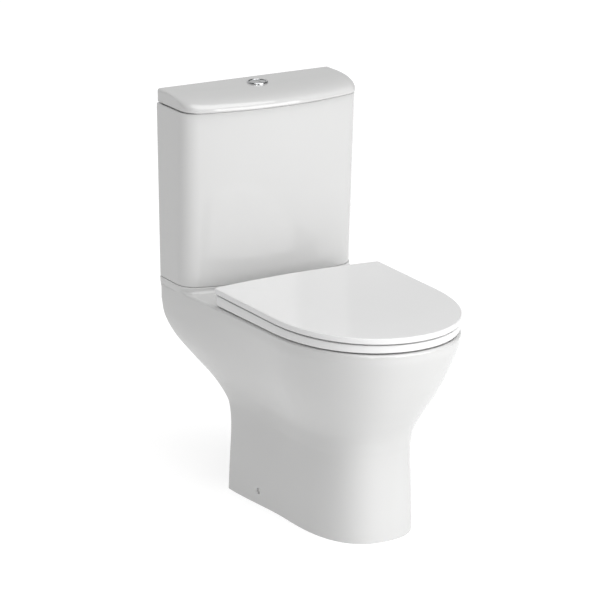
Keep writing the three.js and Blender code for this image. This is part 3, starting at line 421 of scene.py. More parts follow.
def levels(start, end, steps):
    return [mix(start, end, i / steps) for i in range(steps + 1)]


def rounding(radius, steps):
    """(inset, height) steps from the side of an edge to its top."""
    turns = [QUARTER * i / steps for i in range(steps + 1)]
    return [(radius * (1 - math.cos(t)), radius * math.sin(t)) for t in turns]


# ---- Pan ----

def pan_shape(z):
    front_spread = along(FRONT_SPREAD, z)
    back_spread = along(BACK_SPREAD, z)
    spread = FOOT_SPREAD * (1 - clamp(z / FOOT_SPREAD_TOP_Z) ** 2)
    return dict(
        wide=mix(FOOT["wide"], RIM["wide"], front_spread) + spread,
        front=mix(FOOT["front"], RIM["front"], front_spread) - spread,
        widest_y=mix(FOOT["widest_y"], RIM["widest_y"], front_spread),
        back=mix(FOOT["back"], RIM["back"], back_spread),
        back_wide=mix(FOOT["back_wide"], RIM["back_wide"], back_spread),
        corner=mix(FOOT["corner"], RIM["corner"], clamp(back_spread)),
        powers=[mix(low, high, front_spread) for low, high in zip(FOOT["powers"], RIM["powers"])],
    )


def pan_outside():
    edge_start = DECK_Z - RIM_EDGE_RADIUS
    rings = [at_height(lobe(pan_shape(0), inset), FOOT_EDGE_RADIUS - rise)
             for inset, rise in reversed(rounding(FOOT_EDGE_RADIUS, 4))]
    heights = levels(FOOT_EDGE_RADIUS, FINE_RINGS_Z, 12)[1:] + levels(FINE_RINGS_Z, edge_start, 56)[1:]
    rings += [at_height(lobe(pan_shape(z)), z) for z in heights]
    for inset, rise in rounding(RIM_EDGE_RADIUS, 8)[1:]:
        rings.append(at_height(lobe(pan_shape(DECK_Z), inset), edge_start + rise))
    return loft([with_deck(ring) for ring in rings], "pan_china")


def pan_cavity():
    """The hollow under the deck, open at the bottom and at the back."""
    past_back = 3 * PAN_WALL
    first_z = 30
    ceiling_start = DECK_UNDERSIDE_Z - PAN_WALL

    def section(z):
        shape = pan_shape(z)
        return dict(shape, back=shape["back"] + past_back, corner=PAN_WALL + 2)
    rings = [at_height(lobe(section(0), PAN_WALL), -PAST)]
    heights = levels(first_z, FINE_RINGS_Z, 4) + levels(FINE_RINGS_Z, ceiling_start, 30)[1:]
    rings += [at_height(lobe(section(z), PAN_WALL), z) for z in heights]
    for inset, rise in rounding(PAN_WALL, 5)[1:]:
        rings.append(at_height(lobe(section(ceiling_start), PAN_WALL + inset), ceiling_start + rise))
    return loft([with_deck(ring) for ring in rings])


# Bowl levels, from the bottom of the water seal up to the mouth.
BOWL = [
    dict(z=92, wide=22, front=-40, widest_y=-20, back=0),
    dict(z=120, wide=36, front=-59, widest_y=-24, back=12),
    dict(z=165, wide=45, front=-84, widest_y=-32, back=17),
    dict(z=214, wide=59, front=-124, widest_y=-49, back=21),
    dict(z=255, wide=78, front=-178, widest_y=-72, back=25),
    dict(z=300, wide=99, front=-232, widest_y=-95, back=29),
    dict(z=350, wide=114, front=-266, widest_y=-111, back=33),
    dict(z=DECK_Z, wide=118, front=-275, widest_y=-115, back=36),
]
BOWL_FLOOR_RADIUS = 14
BOWL_FLOOR_RISE = BOWL_FLOOR_RADIUS * 0.6
BOWL_FLOOR_GROWTH = 0.9
LIP_RADIUS = 7
LIP_TURN_DEGREES = 72


def bowl_shape(z):
    keys = ("wide", "front", "widest_y", "back")
    return {key: along([(level["z"], level[key]) for level in BOWL], z) for key in keys}


def bowl_skin(grow, top_z, lip):
    """The bowl's surface, grown outwards; the lip rolls over onto the deck."""
    bottom = BOWL[0]["z"]
    first = bottom + BOWL_FLOOR_RISE - grow * BOWL_FLOOR_GROWTH
    rings = [at_height(egg(bowl_shape(bottom), inset - grow), first - rise)
             for inset, rise in reversed(rounding(BOWL_FLOOR_RADIUS, 5)[1:])]
    lip_start = DECK_Z - LIP_RADIUS if lip else top_z
    rings += [at_height(egg(bowl_shape(z), -grow), z) for z in levels(first, lip_start, 48)]
    if not lip:
        return loft(rings)
    mouth = bowl_shape(lip_start)
    last = math.radians(LIP_TURN_DEGREES)
    steps = 7
    for i in range(1, steps + 1):
        turn = last * i / steps
        out = LIP_RADIUS * (1 - math.cos(turn))
        rings.append(at_height(egg(mouth, -out), lip_start + LIP_RADIUS * math.sin(turn)))
    rise = 3
    out = LIP_RADIUS * (1 - math.cos(last)) + rise * math.tan(last)
    rings.append(at_height(egg(mouth, -out), lip_start + LIP_RADIUS * math.sin(last) + rise))
    return loft([[(x, y, z - DECK_SLOPE * y * clamp((z - lip_start) / LIP_RADIUS)) for x, y, z in ring]
                 for ring in rings])


def passage(stations, sides=48):
    """A round passage in the middle plane through stations of (y, z, heading, radius)."""
    rings = []
    for y, z, heading, radius in stations:
        ring = []
        for k in range(sides):
            turn = 2 * math.pi * k / sides
            x = radius * math.cos(turn)
            rise = radius * math.sin(turn)
            ring.append((x, y + rise * math.sin(heading), z - rise * math.cos(heading)))
        rings.append(ring)
    return loft(rings)


def bend(centre, start, end, start_radius, end_radius, steps):
    """Stations round a (y, z, radius) centre; the passage turns upwards when its heading grows."""
    centre_y, centre_z, turn_radius = centre
    side = math.copysign(1, end - start)
    stations = []
    for i in range(steps + 1):
        heading = mix(start, end, i / steps)
        y = centre_y + side * turn_radius * math.sin(heading)
        z = centre_z - side * turn_radius * math.cos(heading)
        stations.append((y, z, heading, mix(start_radius, end_radius, i / steps)))
    return stations


OUTLET_Y = 258
OUTLET_Z = 185
TRAP_TURN = 50
TRAP_LOW_Z = 120
UP_LEG_Y = 84
WEIR_Z = 250
TRAP_BORE = 35
TRAP_WALL = 9
SPIGOT_BORE = 42
SPIGOT_TURN = 55
SPIGOT_BEND_Y = 237
SPIGOT_EDGE = 2
TRAP_START = -0.26
TRAP_RUN = 42
WEIR_END = -0.87
WEIR_WIDENING = 2
BEND_WIDENING = 3


def trap(wall, beyond):
    """The trap and outlet: its bore with no wall, or the china round it with one."""
    bore = TRAP_BORE + wall
    spigot = SPIGOT_BORE + wall
    low_centre = (UP_LEG_Y - TRAP_TURN, TRAP_LOW_Z + TRAP_TURN, TRAP_TURN)
    high_centre = (UP_LEG_Y + TRAP_TURN, WEIR_Z - TRAP_TURN, TRAP_TURN)
    low = bend(low_centre, TRAP_START, QUARTER, bore, bore, 12)
    last_centre = (SPIGOT_BEND_Y, OUTLET_Z + SPIGOT_TURN, SPIGOT_TURN)
    weir = bend(high_centre, QUARTER, WEIR_END, bore, bore + WEIR_WIDENING, 16)
    last = bend(last_centre, WEIR_END, 0, bore + BEND_WIDENING, spigot, 9)
    start_y = low[0][0] - TRAP_RUN * math.cos(TRAP_START)
    start_z = low[0][1] - TRAP_RUN * math.sin(TRAP_START)
    start = (start_y, start_z, TRAP_START, bore)
    end = [(OUTLET_Y + beyond, OUTLET_Z, 0, spigot)]
    if wall > 0:
        end = [(OUTLET_Y - SPIGOT_EDGE, OUTLET_Z, 0, spigot), (OUTLET_Y - 0.5, OUTLET_Z, 0, spigot - 0.6),
               (OUTLET_Y, OUTLET_Z, 0, spigot - SPIGOT_EDGE)]
    return passage([start] + low + weir + last + end)


CHANNEL_BORE = 22
CHANNEL_WALL = 7
CHANNEL_TURN = 33
CHANNEL_Z = 340
CHANNEL_END_Y = 40
CHANNEL_INTO_BOWL = 15
INLET_RECESS_RADIUS = 45
INLET_RECESS_WALL = 8
INLET_RECESS_Z = SHELF_Z - 26
HINGE_HOLE_Y = 105
SIDE_HOLE_Y = 76
SIDE_HOLE_Z = 27
SIDE_HOLE_RADIUS = 6
BOLT_HOLE_RADIUS = 7
BOLT_HOLE_DEPTH = 60
FILL_HOLE_RADIUS = 20
FILL_HOLE_DEPTH = 100
SHELF_EDGE_RADIUS = 0.9
FILLET_STEPS = 8
FILLET_SIDE_INSET = 0.8
FILLET_SINK = 1
FILLET_TOP_GAP = 1.5
SHELF_NECK_INSET = 1.2
SHELF_NECK_DEPTH = 4
SHELF_ROOT_INSET = 5
SHELF_ROOT_DEPTH = 22
SIDE_HOLE_REACH = 30


def channel(wall, top_z):
    """The flush channel from the shelf to the bowl: its bore, or the china round it."""
    radius = CHANNEL_BORE + wall
    centre = (VALVE_Y - CHANNEL_TURN, CHANNEL_Z + CHANNEL_TURN, CHANNEL_TURN)
    turn = bend(centre, 0, QUARTER, radius, radius, 8)
    bowl_end = (CHANNEL_END_Y - (0 if wall > 0 else CHANNEL_INTO_BOWL), CHANNEL_Z, 0, radius)
    return passage([bowl_end] + turn + [(VALVE_Y, top_z, QUARTER, radius)], 40)


def shelf():
    """The raised shelf for the cistern, with a concave fillet down to the deck in front of it."""
    foot_z = deck_at(SHELF["front"]) - FILLET_SINK
    fillet = SHELF_Z - foot_z - FILLET_TOP_GAP
    root = cistern_outline(SHELF, SHELF_ROOT_INSET, SHELF_ROOT_INSET)
    neck = cistern_outline(SHELF, SHELF_NECK_INSET, -fillet)
    rings = [at_height(root, DECK_UNDERSIDE_Z - SHELF_ROOT_DEPTH),
             at_height(neck, foot_z - SHELF_NECK_DEPTH)]
    for i in range(FILLET_STEPS + 1):
        turn = QUARTER * i / FILLET_STEPS
        reach = fillet * (1 - math.sin(turn))
        side = FILLET_SIDE_INSET * (1 - i / FILLET_STEPS)
        z = foot_z + fillet * (1 - math.cos(turn))
        rings.append(at_height(cistern_outline(SHELF, side, -reach), z))
    for inset, rise in rounding(SHELF_EDGE_RADIUS, 4)[1:]:
        rings.append(at_height(cistern_outline(SHELF, inset), SHELF_Z - SHELF_EDGE_RADIUS + rise))
    return loft(rings)


def make_pan():
    pan = join(pan_outside(), shelf())
    cut(pan, pan_cavity())
    recess_outside = INLET_RECESS_RADIUS + INLET_RECESS_WALL
    join(pan, bowl_skin(BOWL_WALL, top_z=DECK_Z - 4, lip=False), trap(TRAP_WALL, beyond=0),
         channel(CHANNEL_WALL, top_z=SHELF_Z - 12),
         upright(recess_outside, INLET_RECESS_Z - INLET_RECESS_WALL, SHELF_Z - 2, 0, VALVE_Y))
    above = SHELF_Z + PAST
    cut(pan, bowl_skin(0, top_z=DECK_Z, lip=True), trap(0, beyond=4), channel(0, top_z=SHELF_Z + 3),
        upright(INLET_RECESS_RADIUS, INLET_RECESS_Z, above, 0, VALVE_Y),
        upright(FILL_HOLE_RADIUS, SHELF_Z - FILL_HOLE_DEPTH, above, FILL_X, FILL_Y))
    for side in (-1, 1):
        inner = side * (FOOT["wide"] - SIDE_HOLE_REACH)
        outer = side * (FOOT["wide"] + SIDE_HOLE_REACH)
        for x, y in ((COUPLING_BOLT_X, VALVE_Y), (HINGE_X, HINGE_HOLE_Y)):
            cut(pan, upright(BOLT_HOLE_RADIUS, SHELF_Z - BOLT_HOLE_DEPTH, above, side * x, y, 24))
        cut(pan, crosswise(SIDE_HOLE_RADIUS, inner, outer, SIDE_HOLE_Y, SIDE_HOLE_Z))
    return shade(pan)


# ---- Cistern and lid ----

BASE_EDGE_RADIUS = 1.6
TOP_EDGE_RADIUS = 2.0
TANK_FLOOR_RADIUS = 10
VALVE_HOLE_RADIUS = 32
FILL_TAIL_HOLE_RADIUS = 11.5
COUPLING_HOLE_RADIUS = 6.5
MOUTH_DEPTH = 2
MOUTH_WIDENING = 5


def make_cistern():
    bottom = SHELF_Z + GAP
    span = CISTERN_TOP_Z - bottom

    def shape(z):
        t = (z - bottom) / span
        return {key: mix(CISTERN_BASE[key], CISTERN_TOP[key], t) for key in CISTERN_BASE}

    def ring(z, inset):
        return at_height(cistern_outline(shape(z), inset), z)
    side_bottom = bottom + BASE_EDGE_RADIUS
    side_top = CISTERN_TOP_Z - TOP_EDGE_RADIUS
    rings = [ring(side_bottom - rise, inset) for inset, rise in reversed(rounding(BASE_EDGE_RADIUS, 5)[1:])]
    rings += [ring(z, 0) for z in levels(side_bottom, side_top, 24)]
    rings += [ring(side_top + rise, inset) for inset, rise in rounding(TOP_EDGE_RADIUS, 4)[1:]]
    cistern = loft(rings, "cistern_china")
    inner_bottom = CISTERN_FLOOR_Z + TANK_FLOOR_RADIUS
    inner = [ring(inner_bottom - rise, CISTERN_WALL + inset)
             for inset, rise in reversed(rounding(TANK_FLOOR_RADIUS, 6)[1:])]
    inner += [ring(z, CISTERN_WALL) for z in levels(inner_bottom, CISTERN_TOP_Z - MOUTH_DEPTH, 8)]
    inner += [ring(CISTERN_TOP_Z + 3, CISTERN_WALL - MOUTH_WIDENING)]
    cut(cistern, loft(inner))
    holes = [
        (VALVE_HOLE_RADIUS, 0, VALVE_Y, 48),
        (FILL_TAIL_HOLE_RADIUS, FILL_X, FILL_Y, 32),
        (COUPLING_HOLE_RADIUS, COUPLING_BOLT_X, VALVE_Y, 24),
        (COUPLING_HOLE_RADIUS, -COUPLING_BOLT_X, VALVE_Y, 24),
    ]
    for radius, x, y, sides in holes:
        cut(cistern, upright(radius, bottom - PAST, CISTERN_FLOOR_Z + PAST, x, y, sides))
    return shade(cistern)


ROUND_SIDES = 96
LID_EDGE_Z = CISTERN_TOP_Z + 2.2
LID_ROLL_DEPTH = 88
LID_SIDE_RADIUS = 5
LID_CEILING_Z = LID_TOP_Z - 8
LID_LIP_BOTTOM_Z = CISTERN_TOP_Z - 12
LIP_SIDE = 11
LIP_FRONT = 18
LIP_THICKNESS = 7
LID_FOOT_INSET = 7
LID_FOOT_RADIUS = 1.2
LID_ROLL_STEPS = 30
LID_ROLL_POWER = 0.8
LID_CEILING_FRONT = 66
BUTTON_HOLE_RADIUS = 19


def make_lid():
    """A lid whose front rolls over to a thin edge; a lip under it sits inside the tank."""
    height = LID_TOP_Z - LID_EDGE_Z

    def ring(z, side, front):
        return at_height(cistern_outline(LID, side, front), z)
    rings = [ring(z, LID_FOOT_INSET, LID_FOOT_INSET) for z in (CISTERN_TOP_Z + GAP, LID_EDGE_Z - 0.4)]
    rings += [ring(LID_EDGE_Z + LID_FOOT_RADIUS - rise, inset, inset)
              for inset, rise in reversed(rounding(LID_FOOT_RADIUS, 4)[1:])]
    for i in range(LID_ROLL_STEPS + 1):
        turn = QUARTER * i / LID_ROLL_STEPS
        drop = (height - LID_FOOT_RADIUS) * (1 - math.sin(turn) ** LID_ROLL_POWER)
        front = LID_ROLL_DEPTH * (1 - max(math.cos(turn), 0) ** LID_ROLL_POWER)
        below_top = min(drop / LID_SIDE_RADIUS, 1)
        side = LID_SIDE_RADIUS * (1 - math.sqrt(1 - (1 - below_top) ** 2))
        rings.append(ring(LID_TOP_Z - drop, side, front))
    lid = loft(rings, "lid_china")
    lip_top = LID_EDGE_Z + 4
    side, front = LIP_SIDE + LIP_THICKNESS, LIP_FRONT + LIP_THICKNESS
    join(lid, loft([ring(LID_LIP_BOTTOM_Z, LIP_SIDE, LIP_FRONT), ring(lip_top, LIP_SIDE, LIP_FRONT)]))
    cut(lid, loft([ring(LID_LIP_BOTTOM_Z - PAST, side, front), ring(lip_top, side, front),
                   ring(LID_CEILING_Z, side, LID_CEILING_FRONT)]))
    cut(lid, upright(BUTTON_HOLE_RADIUS, LID_CEILING_Z - PAST, LID_TOP_Z + PAST, 0, BUTTON_Y, ROUND_SIDES))
    return shade(lid)


# ---- Button ----

BEZEL_RADIUS = 20.3
BEZEL_TOP_Z = round(bezel_high[2], 1)
SLEEVE_RADIUS = 18.4
SLEEVE_BORE = 16.4
SLEEVE_BOTTOM_Z = LID_CEILING_Z - 24
BUTTON_RADIUS = 16
BUTTON_FACE_Z = round(button_high[2], 1)
BUTTON_UNDERSIDE_Z = BUTTON_FACE_Z - 9
ROD_RADIUS = 2.2
ROD_BOTTOM_Z = round(button_low[2], 1)
FULL_ROD_X = -7
HALF_ROD_X = 10
BUTTON_SHARP_DEGREES = 35


def make_bezel():
    edge = 1.4
    edge_z = BEZEL_TOP_Z - edge
    profile = [(SLEEVE_BORE, SLEEVE_BOTTOM_Z), (SLEEVE_RADIUS, SLEEVE_BOTTOM_Z),
               (SLEEVE_RADIUS, LID_TOP_Z + GAP), (BEZEL_RADIUS, LID_TOP_Z + GAP)]
    profile += [(BEZEL_RADIUS - inset, edge_z + rise) for inset, rise in rounding(edge, 6)]
    profile += [(SLEEVE_BORE + inset, edge_z + rise) for inset, rise in reversed(rounding(edge, 6))]
    return shade(torus(profile, 0, BUTTON_Y, ROUND_SIDES, "bezel_chrome"), BUTTON_SHARP_DEGREES)


def make_button(name, side, rod_x):
    """One half of a slightly dished disc, with the rod that pushes the flush valve."""
    edge = 0.9
    dish = 0.5
    top = BUTTON_FACE_Z

    def ring(radius, z):
        return circle(radius, 0, BUTTON_Y, z, ROUND_SIDES)
    rings = [ring(BUTTON_RADIUS, BUTTON_UNDERSIDE_Z)]
    rings += [ring(BUTTON_RADIUS - inset, top - edge + rise) for inset, rise in rounding(edge, 5)]
    for radius in (13, 10, 7, 4, 1.5):
        rings.append(ring(radius, top - dish * (1 - (radius / (BUTTON_RADIUS - edge)) ** 2)))
    disc = loft(rings, name)
    clear = 0.4
    far = 40
    inner = BUTTON_SPLIT_X + side * clear
    common(disc, block(inner, side * far, BUTTON_Y - far, BUTTON_Y + far, BUTTON_UNDERSIDE_Z - 1, top + 1))
    join(disc, upright(ROD_RADIUS, ROD_BOTTOM_Z, BUTTON_UNDERSIDE_Z + 2, rod_x, BUTTON_Y, 24))
    bevel_edges(disc, "soften", width=0.35, segments=3, from_degrees=50)
    return shade(disc, BUTTON_SHARP_DEGREES)


# ---- Seat ----

RING_HOLE_RADIUS = 7
RING_HOLE_TURN_DEGREES = 74
PIN_DEPTH = 3


def slab_rings(shape, bottom_at, top, bottom_edge, top_edge, crown, reach):
    """Rings over the seat outline, from an underside that may slope to a slightly crowned top."""
    rings = [[(x, y, bottom_at(y) + bottom_edge - rise) for x, y in lobe(shape, inset)]
             for inset, rise in reversed(rounding(bottom_edge, 5))]
    shoulder = top - crown - top_edge
    rings.append(at_height(lobe(shape), shoulder))
    rings += [at_height(lobe(shape, inset), shoulder + rise)
              for inset, rise in rounding(top_edge, 7)[1:]]
    crown_steps = 12
    for i in range(1, crown_steps + 1):
        t = i / crown_steps
        rings.append(at_height(lobe(shape, top_edge + reach * t), top - crown * (1 - t) ** 2))
    return rings


def ring_bottom_at(y):
    return deck_at(y) + RING_CLEARANCE


def side_block(side, inner, outer, y0, z0, z1):
    """A block from y0 to well behind the hinges, between two distances from the middle plane."""
    return block(side * inner, side * outer, y0, HINGE_Y + 40, z0, z1)


def make_ring():
    shape = dict(SEAT, wide=SEAT["wide"] - RING_INSET, front=SEAT["front"] + RING_INSET,
                 back_wide=SEAT["back_wide"] - RING_INSET)
    slab = slab_rings(shape, ring_bottom_at, RING_TOP_Z, bottom_edge=1.5, top_edge=1.6, crown=1.3, reach=22)
    ring = loft(slab, "seat_ring_plastic")
    hole_edge_z = RING_TOP_Z - RING_HOLE_RADIUS

    def opening(z, inset):
        return at_height(egg(SEAT_OPENING, inset), z)
    hole = [opening(DECK_Z - 6, 3), opening(RING_TOP_Z - 11, 0), opening(hole_edge_z, 0)]
    last = math.radians(RING_HOLE_TURN_DEGREES)
    steps = 8
    for i in range(1, steps + 1):
        turn = last * i / steps
        out = RING_HOLE_RADIUS * (1 - math.cos(turn))
        hole.append(opening(hole_edge_z + RING_HOLE_RADIUS * math.sin(turn), -out))
    rise = 2
    out = RING_HOLE_RADIUS * (1 - math.cos(last)) + rise * math.tan(last)
    hole.append(opening(hole_edge_z + RING_HOLE_RADIUS * math.sin(last) + rise, -out))
    cut(ring, loft(hole))
    for side in (-1, 1):
        below, above = DECK_Z - 10, RING_TOP_Z + 5
        post_room = (POST_INNER_X - SIDE_CLEARANCE, POST_OUTER_X + SIDE_CLEARANCE)
        cut(ring, side_block(side, *post_room, POST_FRONT_Y - 4, below, above),
            side_block(side, DAMPER_INNER_X - 1, POST_INNER_X - 0.1, HINGE_Y - DAMPER_ROOM, below, above))
        inner = side * (POST_OUTER_X + SIDE_CLEARANCE)
        pin_end = side * (KNUCKLE_OUTER_X - 2)
        join(ring, crosswise(KNUCKLE_RADIUS, inner, side * KNUCKLE_OUTER_X, HINGE_Y, HINGE_Z))
        cut(ring, crosswise(PIN_RADIUS + GAP, inner - side * PIN_DEPTH, pin_end, HINGE_Y, HINGE_Z))
    return shade(ring)


# A groove under the cover's edge, which keeps the line between the cover and the ring dark.
DRIP_EDGE = 1.8
DRIP_INNER = 10
DRIP_DEPTH = 3.5
DRIP_BACK_Y = 90
COVER_KNUCKLE_WIDTH = 6


def drip_groove(shape):
    """The band between two insets of the cover's outline, ahead of DRIP_BACK_Y."""
    bottom, top = COVER_BOTTOM_Z - 1, COVER_BOTTOM_Z + DRIP_DEPTH
    groove = loft([at_height(lobe(shape, DRIP_EDGE), z) for z in (bottom, top)])
    cut(groove, loft([at_height(lobe(shape, DRIP_INNER), z) for z in (bottom - 1, top + 1)]))
    return common(groove, block(-300, 300, -400, DRIP_BACK_Y, bottom - 1, top + 1))


def make_cover():
    shape = dict(SEAT, bow=COVER_BACK_BOW)
    slab = slab_rings(shape, lambda y: COVER_BOTTOM_Z, COVER_TOP_Z,
                      bottom_edge=0.6, top_edge=2.4, crown=1.0, reach=100)
    cover = loft(slab, "seat_cover_plastic")
    cut(cover, drip_groove(shape))
    for side in (-1, 1):
        cut(cover, side_block(side, DAMPER_INNER_X - 1, KNUCKLE_OUTER_X + 1, HINGE_Y - DAMPER_ROOM,
                              COVER_BOTTOM_Z - 3, HINGE_Z + HINGE_ROOM))
        start = side * (POST_INNER_X - SIDE_CLEARANCE - COVER_KNUCKLE_WIDTH)
        end = side * (POST_INNER_X - SIDE_CLEARANCE)
        join(cover, crosswise(KNUCKLE_RADIUS, start, end, HINGE_Y, HINGE_Z),
             block(start, end, HINGE_Y - 4, HINGE_Y + 4, HINGE_Z, COVER_TOP_Z - 4))
        cut(cover, crosswise(PIN_RADIUS + GAP, start - side * PIN_DEPTH, end + side * PIN_DEPTH,
                             HINGE_Y, HINGE_Z))
    return shade(cover)


# ---- Screw caps ----

CAP_RADIUS = 5.85
CAP_RECESS = 3.2
CAD_CAP_RECESS = 1.2


def make_screw_cap(side):
    """A flat cap in the side hole of the foot, set CAP_RECESS back where the CAD's is CAD_CAP_RECESS."""
    name = "left" if side < 0 else "right"
    low, high = millimetres("screw_cap_" + name)
    inner, outer = (high[0], low[0]) if side < 0 else (low[0], high[0])
    edge = 0.5
    face = abs(outer) - CAP_RECESS + CAD_CAP_RECESS
    levels_out = [(abs(inner), 0), (face - edge, 0), (face - edge / 2, 0.2), (face, edge)]
    turns = [2 * math.pi * i / 48 for i in range(48)]
    rings = []
    for x, inset in levels_out if side > 0 else reversed(levels_out):
        radius = CAP_RADIUS - inset
        rings.append([(side * x, SIDE_HOLE_Y + radius * math.cos(t), SIDE_HOLE_Z + radius * math.sin(t))
                      for t in turns])
    return shade(loft(rings, "screw_cap_" + name + "_plastic"))


# ---- Materials ----

def new_material(name):
    material = bpy.data.materials.new(name)
    material.use_nodes = True
    nodes = material.node_tree.nodes
    return material, nodes, material.node_tree.links, nodes["Principled BSDF"]


def noise(nodes, links, scale, detail=2.0, roughness=0.5, vector=None):
    texture = nodes.new("ShaderNodeTexNoise")
    texture.inputs["Scale"].default_value = scale
    texture.inputs["Detail"].default_value = detail
    texture.inputs["Roughness"].default_value = roughness
    if vector is None:
        vector = nodes.new("ShaderNodeTexCoord").outputs["Object"]
    links.new(vector, texture.inputs["Vector"])
    return texture.outputs["Fac"]


def ramp(nodes, links, source, low, high):
    """Maps a noise value to a range of numbers."""
    node = nodes.new("ShaderNodeMapRange")
    node.inputs["From Min"].default_value = 0.3
    node.inputs["From Max"].default_value = 0.7
    node.inputs["To Min"].default_value = low
    node.inputs["To Max"].default_value = high
    links.new(source, node.inputs["Value"])
    return node.outputs["Result"]


def tint(nodes, links, source, dark, light):
    node = nodes.new("ShaderNodeMix")
    node.data_type = "RGBA"
    node.inputs["A"].default_value = (*dark, 1)
    node.inputs["B"].default_value = (*light, 1)
    links.new(source, node.inputs["Factor"])
    return node.outputs["Result"]


def bump(nodes, links, source, distance, strength=1.0, normal=None):
    node = nodes.new("ShaderNodeBump")
    node.inputs["Distance"].default_value = distance
    node.inputs["Strength"].default_value = strength
    links.new(source, node.inputs["Height"])
    if normal is not None:
        links.new(normal, node.inputs["Normal"])
    return node.outputs["Normal"]


def glazed_china():
    """White glaze: a faint cloudiness, long soft waves in the surface and a very fine orange peel."""
    material, nodes, links, shader = new_material("glazed_china")
    clouds = noise(nodes, links, 3.5, detail=3)
    colour = tint(nodes, links, clouds, dark=(0.555, 0.555, 0.552), light=(0.575, 0.575, 0.572))
    gloss = ramp(nodes, links, noise(nodes, links, 30, detail=3), low=0.05, high=0.09)
    waves = bump(nodes, links, noise(nodes, links, 9, detail=1), distance=0.0005, strength=0.5)
    fine = noise(nodes, links, 420, detail=1)
    peel = bump(nodes, links, fine, distance=0.00004, strength=0.5, normal=waves)
    links.new(colour, shader.inputs["Base Color"])
    links.new(gloss, shader.inputs["Roughness"])
    links.new(peel, shader.inputs["Normal"])
    shader.inputs["IOR"].default_value = 1.5
    return material


def seat_plastic():
    """Pressed urea plastic: denser white than the china, very smooth, with a faint moulding texture."""
    material, nodes, links, shader = new_material("seat_plastic")
    clouds = noise(nodes, links, 5, detail=2)
    colour = tint(nodes, links, clouds, dark=(0.68, 0.68, 0.68), light=(0.70, 0.70, 0.70))
    gloss = ramp(nodes, links, noise(nodes, links, 60, detail=3), low=0.09, high=0.13)
    grain = noise(nodes, links, 300, detail=1)
    links.new(colour, shader.inputs["Base Color"])
    links.new(gloss, shader.inputs["Roughness"])
    links.new(bump(nodes, links, grain, distance=0.000004, strength=0.5), shader.inputs["Normal"])
    shader.inputs["IOR"].default_value = 1.45
    return material


STREAK_STRETCH = (1, 12, 1)


def metal(name, dark, light, low, high, scratch_scale, scratch_depth):
    """Metal whose colour, roughness and fine bump share one noise stretched along one way."""
    material, nodes, links, shader = new_material(name)
    mapping = nodes.new("ShaderNodeMapping")
    mapping.inputs["Scale"].default_value = STREAK_STRETCH
    links.new(nodes.new("ShaderNodeTexCoord").outputs["Object"], mapping.inputs["Vector"])
    streaks = noise(nodes, links, scratch_scale, detail=4, roughness=0.6, vector=mapping.outputs["Vector"])
    links.new(tint(nodes, links, streaks, dark, light), shader.inputs["Base Color"])
    links.new(ramp(nodes, links, streaks, low, high), shader.inputs["Roughness"])
    links.new(bump(nodes, links, streaks, scratch_depth, strength=0.4), shader.inputs["Normal"])
    shader.inputs["Metallic"].default_value = 1.0
    return material


def moulded(name, dark, light, low, high, grain=900):
    """Injection moulded plastic or rubber with a fine grain."""
    material, nodes, links, shader = new_material(name)
    clouds = noise(nodes, links, 40, detail=3)
    gloss = noise(nodes, links, 120, detail=2)
    grains = noise(nodes, links, grain, detail=2)
    links.new(tint(nodes, links, clouds, dark, light), shader.inputs["Base Color"])
    links.new(ramp(nodes, links, gloss, low, high), shader.inputs["Roughness"])
    links.new(bump(nodes, links, grains, distance=0.00008, strength=0.5), shader.inputs["Normal"])
    return material


finishes = {
    "china": glazed_china(),
    "seat_plastic": seat_plastic(),
    "chrome": metal("polished_chrome", (0.56, 0.57, 0.58), (0.62, 0.63, 0.64), 0.04, 0.09, 60, 0.000005),
    "steel": metal("zinc_steel", (0.5, 0.51, 0.53), (0.66, 0.67, 0.68), 0.25, 0.42, 90, 0.00003),
    "brass": metal("plain_brass", (0.55, 0.40, 0.17), (0.72, 0.55, 0.27), 0.22, 0.38, 80, 0.00003),
    "rubber": moulded("black_rubber", (0.012, 0.012, 0.012), (0.03, 0.03, 0.03), 0.6, 0.85),
    "white_plastic": moulded("white_moulding", (0.72, 0.72, 0.71), (0.8, 0.8, 0.79), 0.28, 0.42),
    "grey_plastic": moulded("grey_moulding", (0.15, 0.16, 0.17), (0.2, 0.21, 0.22), 0.32, 0.46),
    "blue_plastic": moulded("blue_moulding", (0.03, 0.09, 0.22), (0.05, 0.13, 0.3), 0.3, 0.44),
    "soft_pad": moulded("soft_pad", (0.6, 0.6, 0.59), (0.7, 0.7, 0.69), 0.5, 0.65),
}


# ---- Pieces over the frame ----

bodies_of = {node: body for body, nodes in frame["record"]["behaviour"]["bodies"].items() for node in nodes}
slots_of = {entry["node"]: entry["material_slot"] for entry in frame["record"]["subparts"]}


def stand_for(piece, node):
    """The piece takes the node's place, body and finish."""
    piece.data.materials.clear()
    piece.data.materials.append(finishes[slots_of[node]])
    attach(piece, bodies_of[node])
    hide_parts(node)


replaced = {
    "pan": make_pan(),
    "cistern": make_cistern(),
    "cistern_lid": make_lid(),
    "button_bezel": make_bezel(),
    "full_flush_button": make_button("full_flush_chrome", -1, FULL_ROD_X),
    "half_flush_button": make_button("half_flush_chrome", 1, HALF_ROD_X),
    "seat_ring": make_ring(),
    "seat_cover": make_cover(),
    "screw_cap_left": make_screw_cap(-1),
    "screw_cap_right": make_screw_cap(1),
}
for node, piece in replaced.items():
    stand_for(piece, node)

for node, piece in frame["nodes"].items():
    if node in replaced:
        continue
    piece.data.materials.clear()
    piece.data.materials.append(finishes[slots_of[node]])
    bevel = bevel_edges(piece, "edges", width=0.4, segments=2, from_degrees=40)
    bevel.use_clamp_overlap = True


# ---- Camera ----

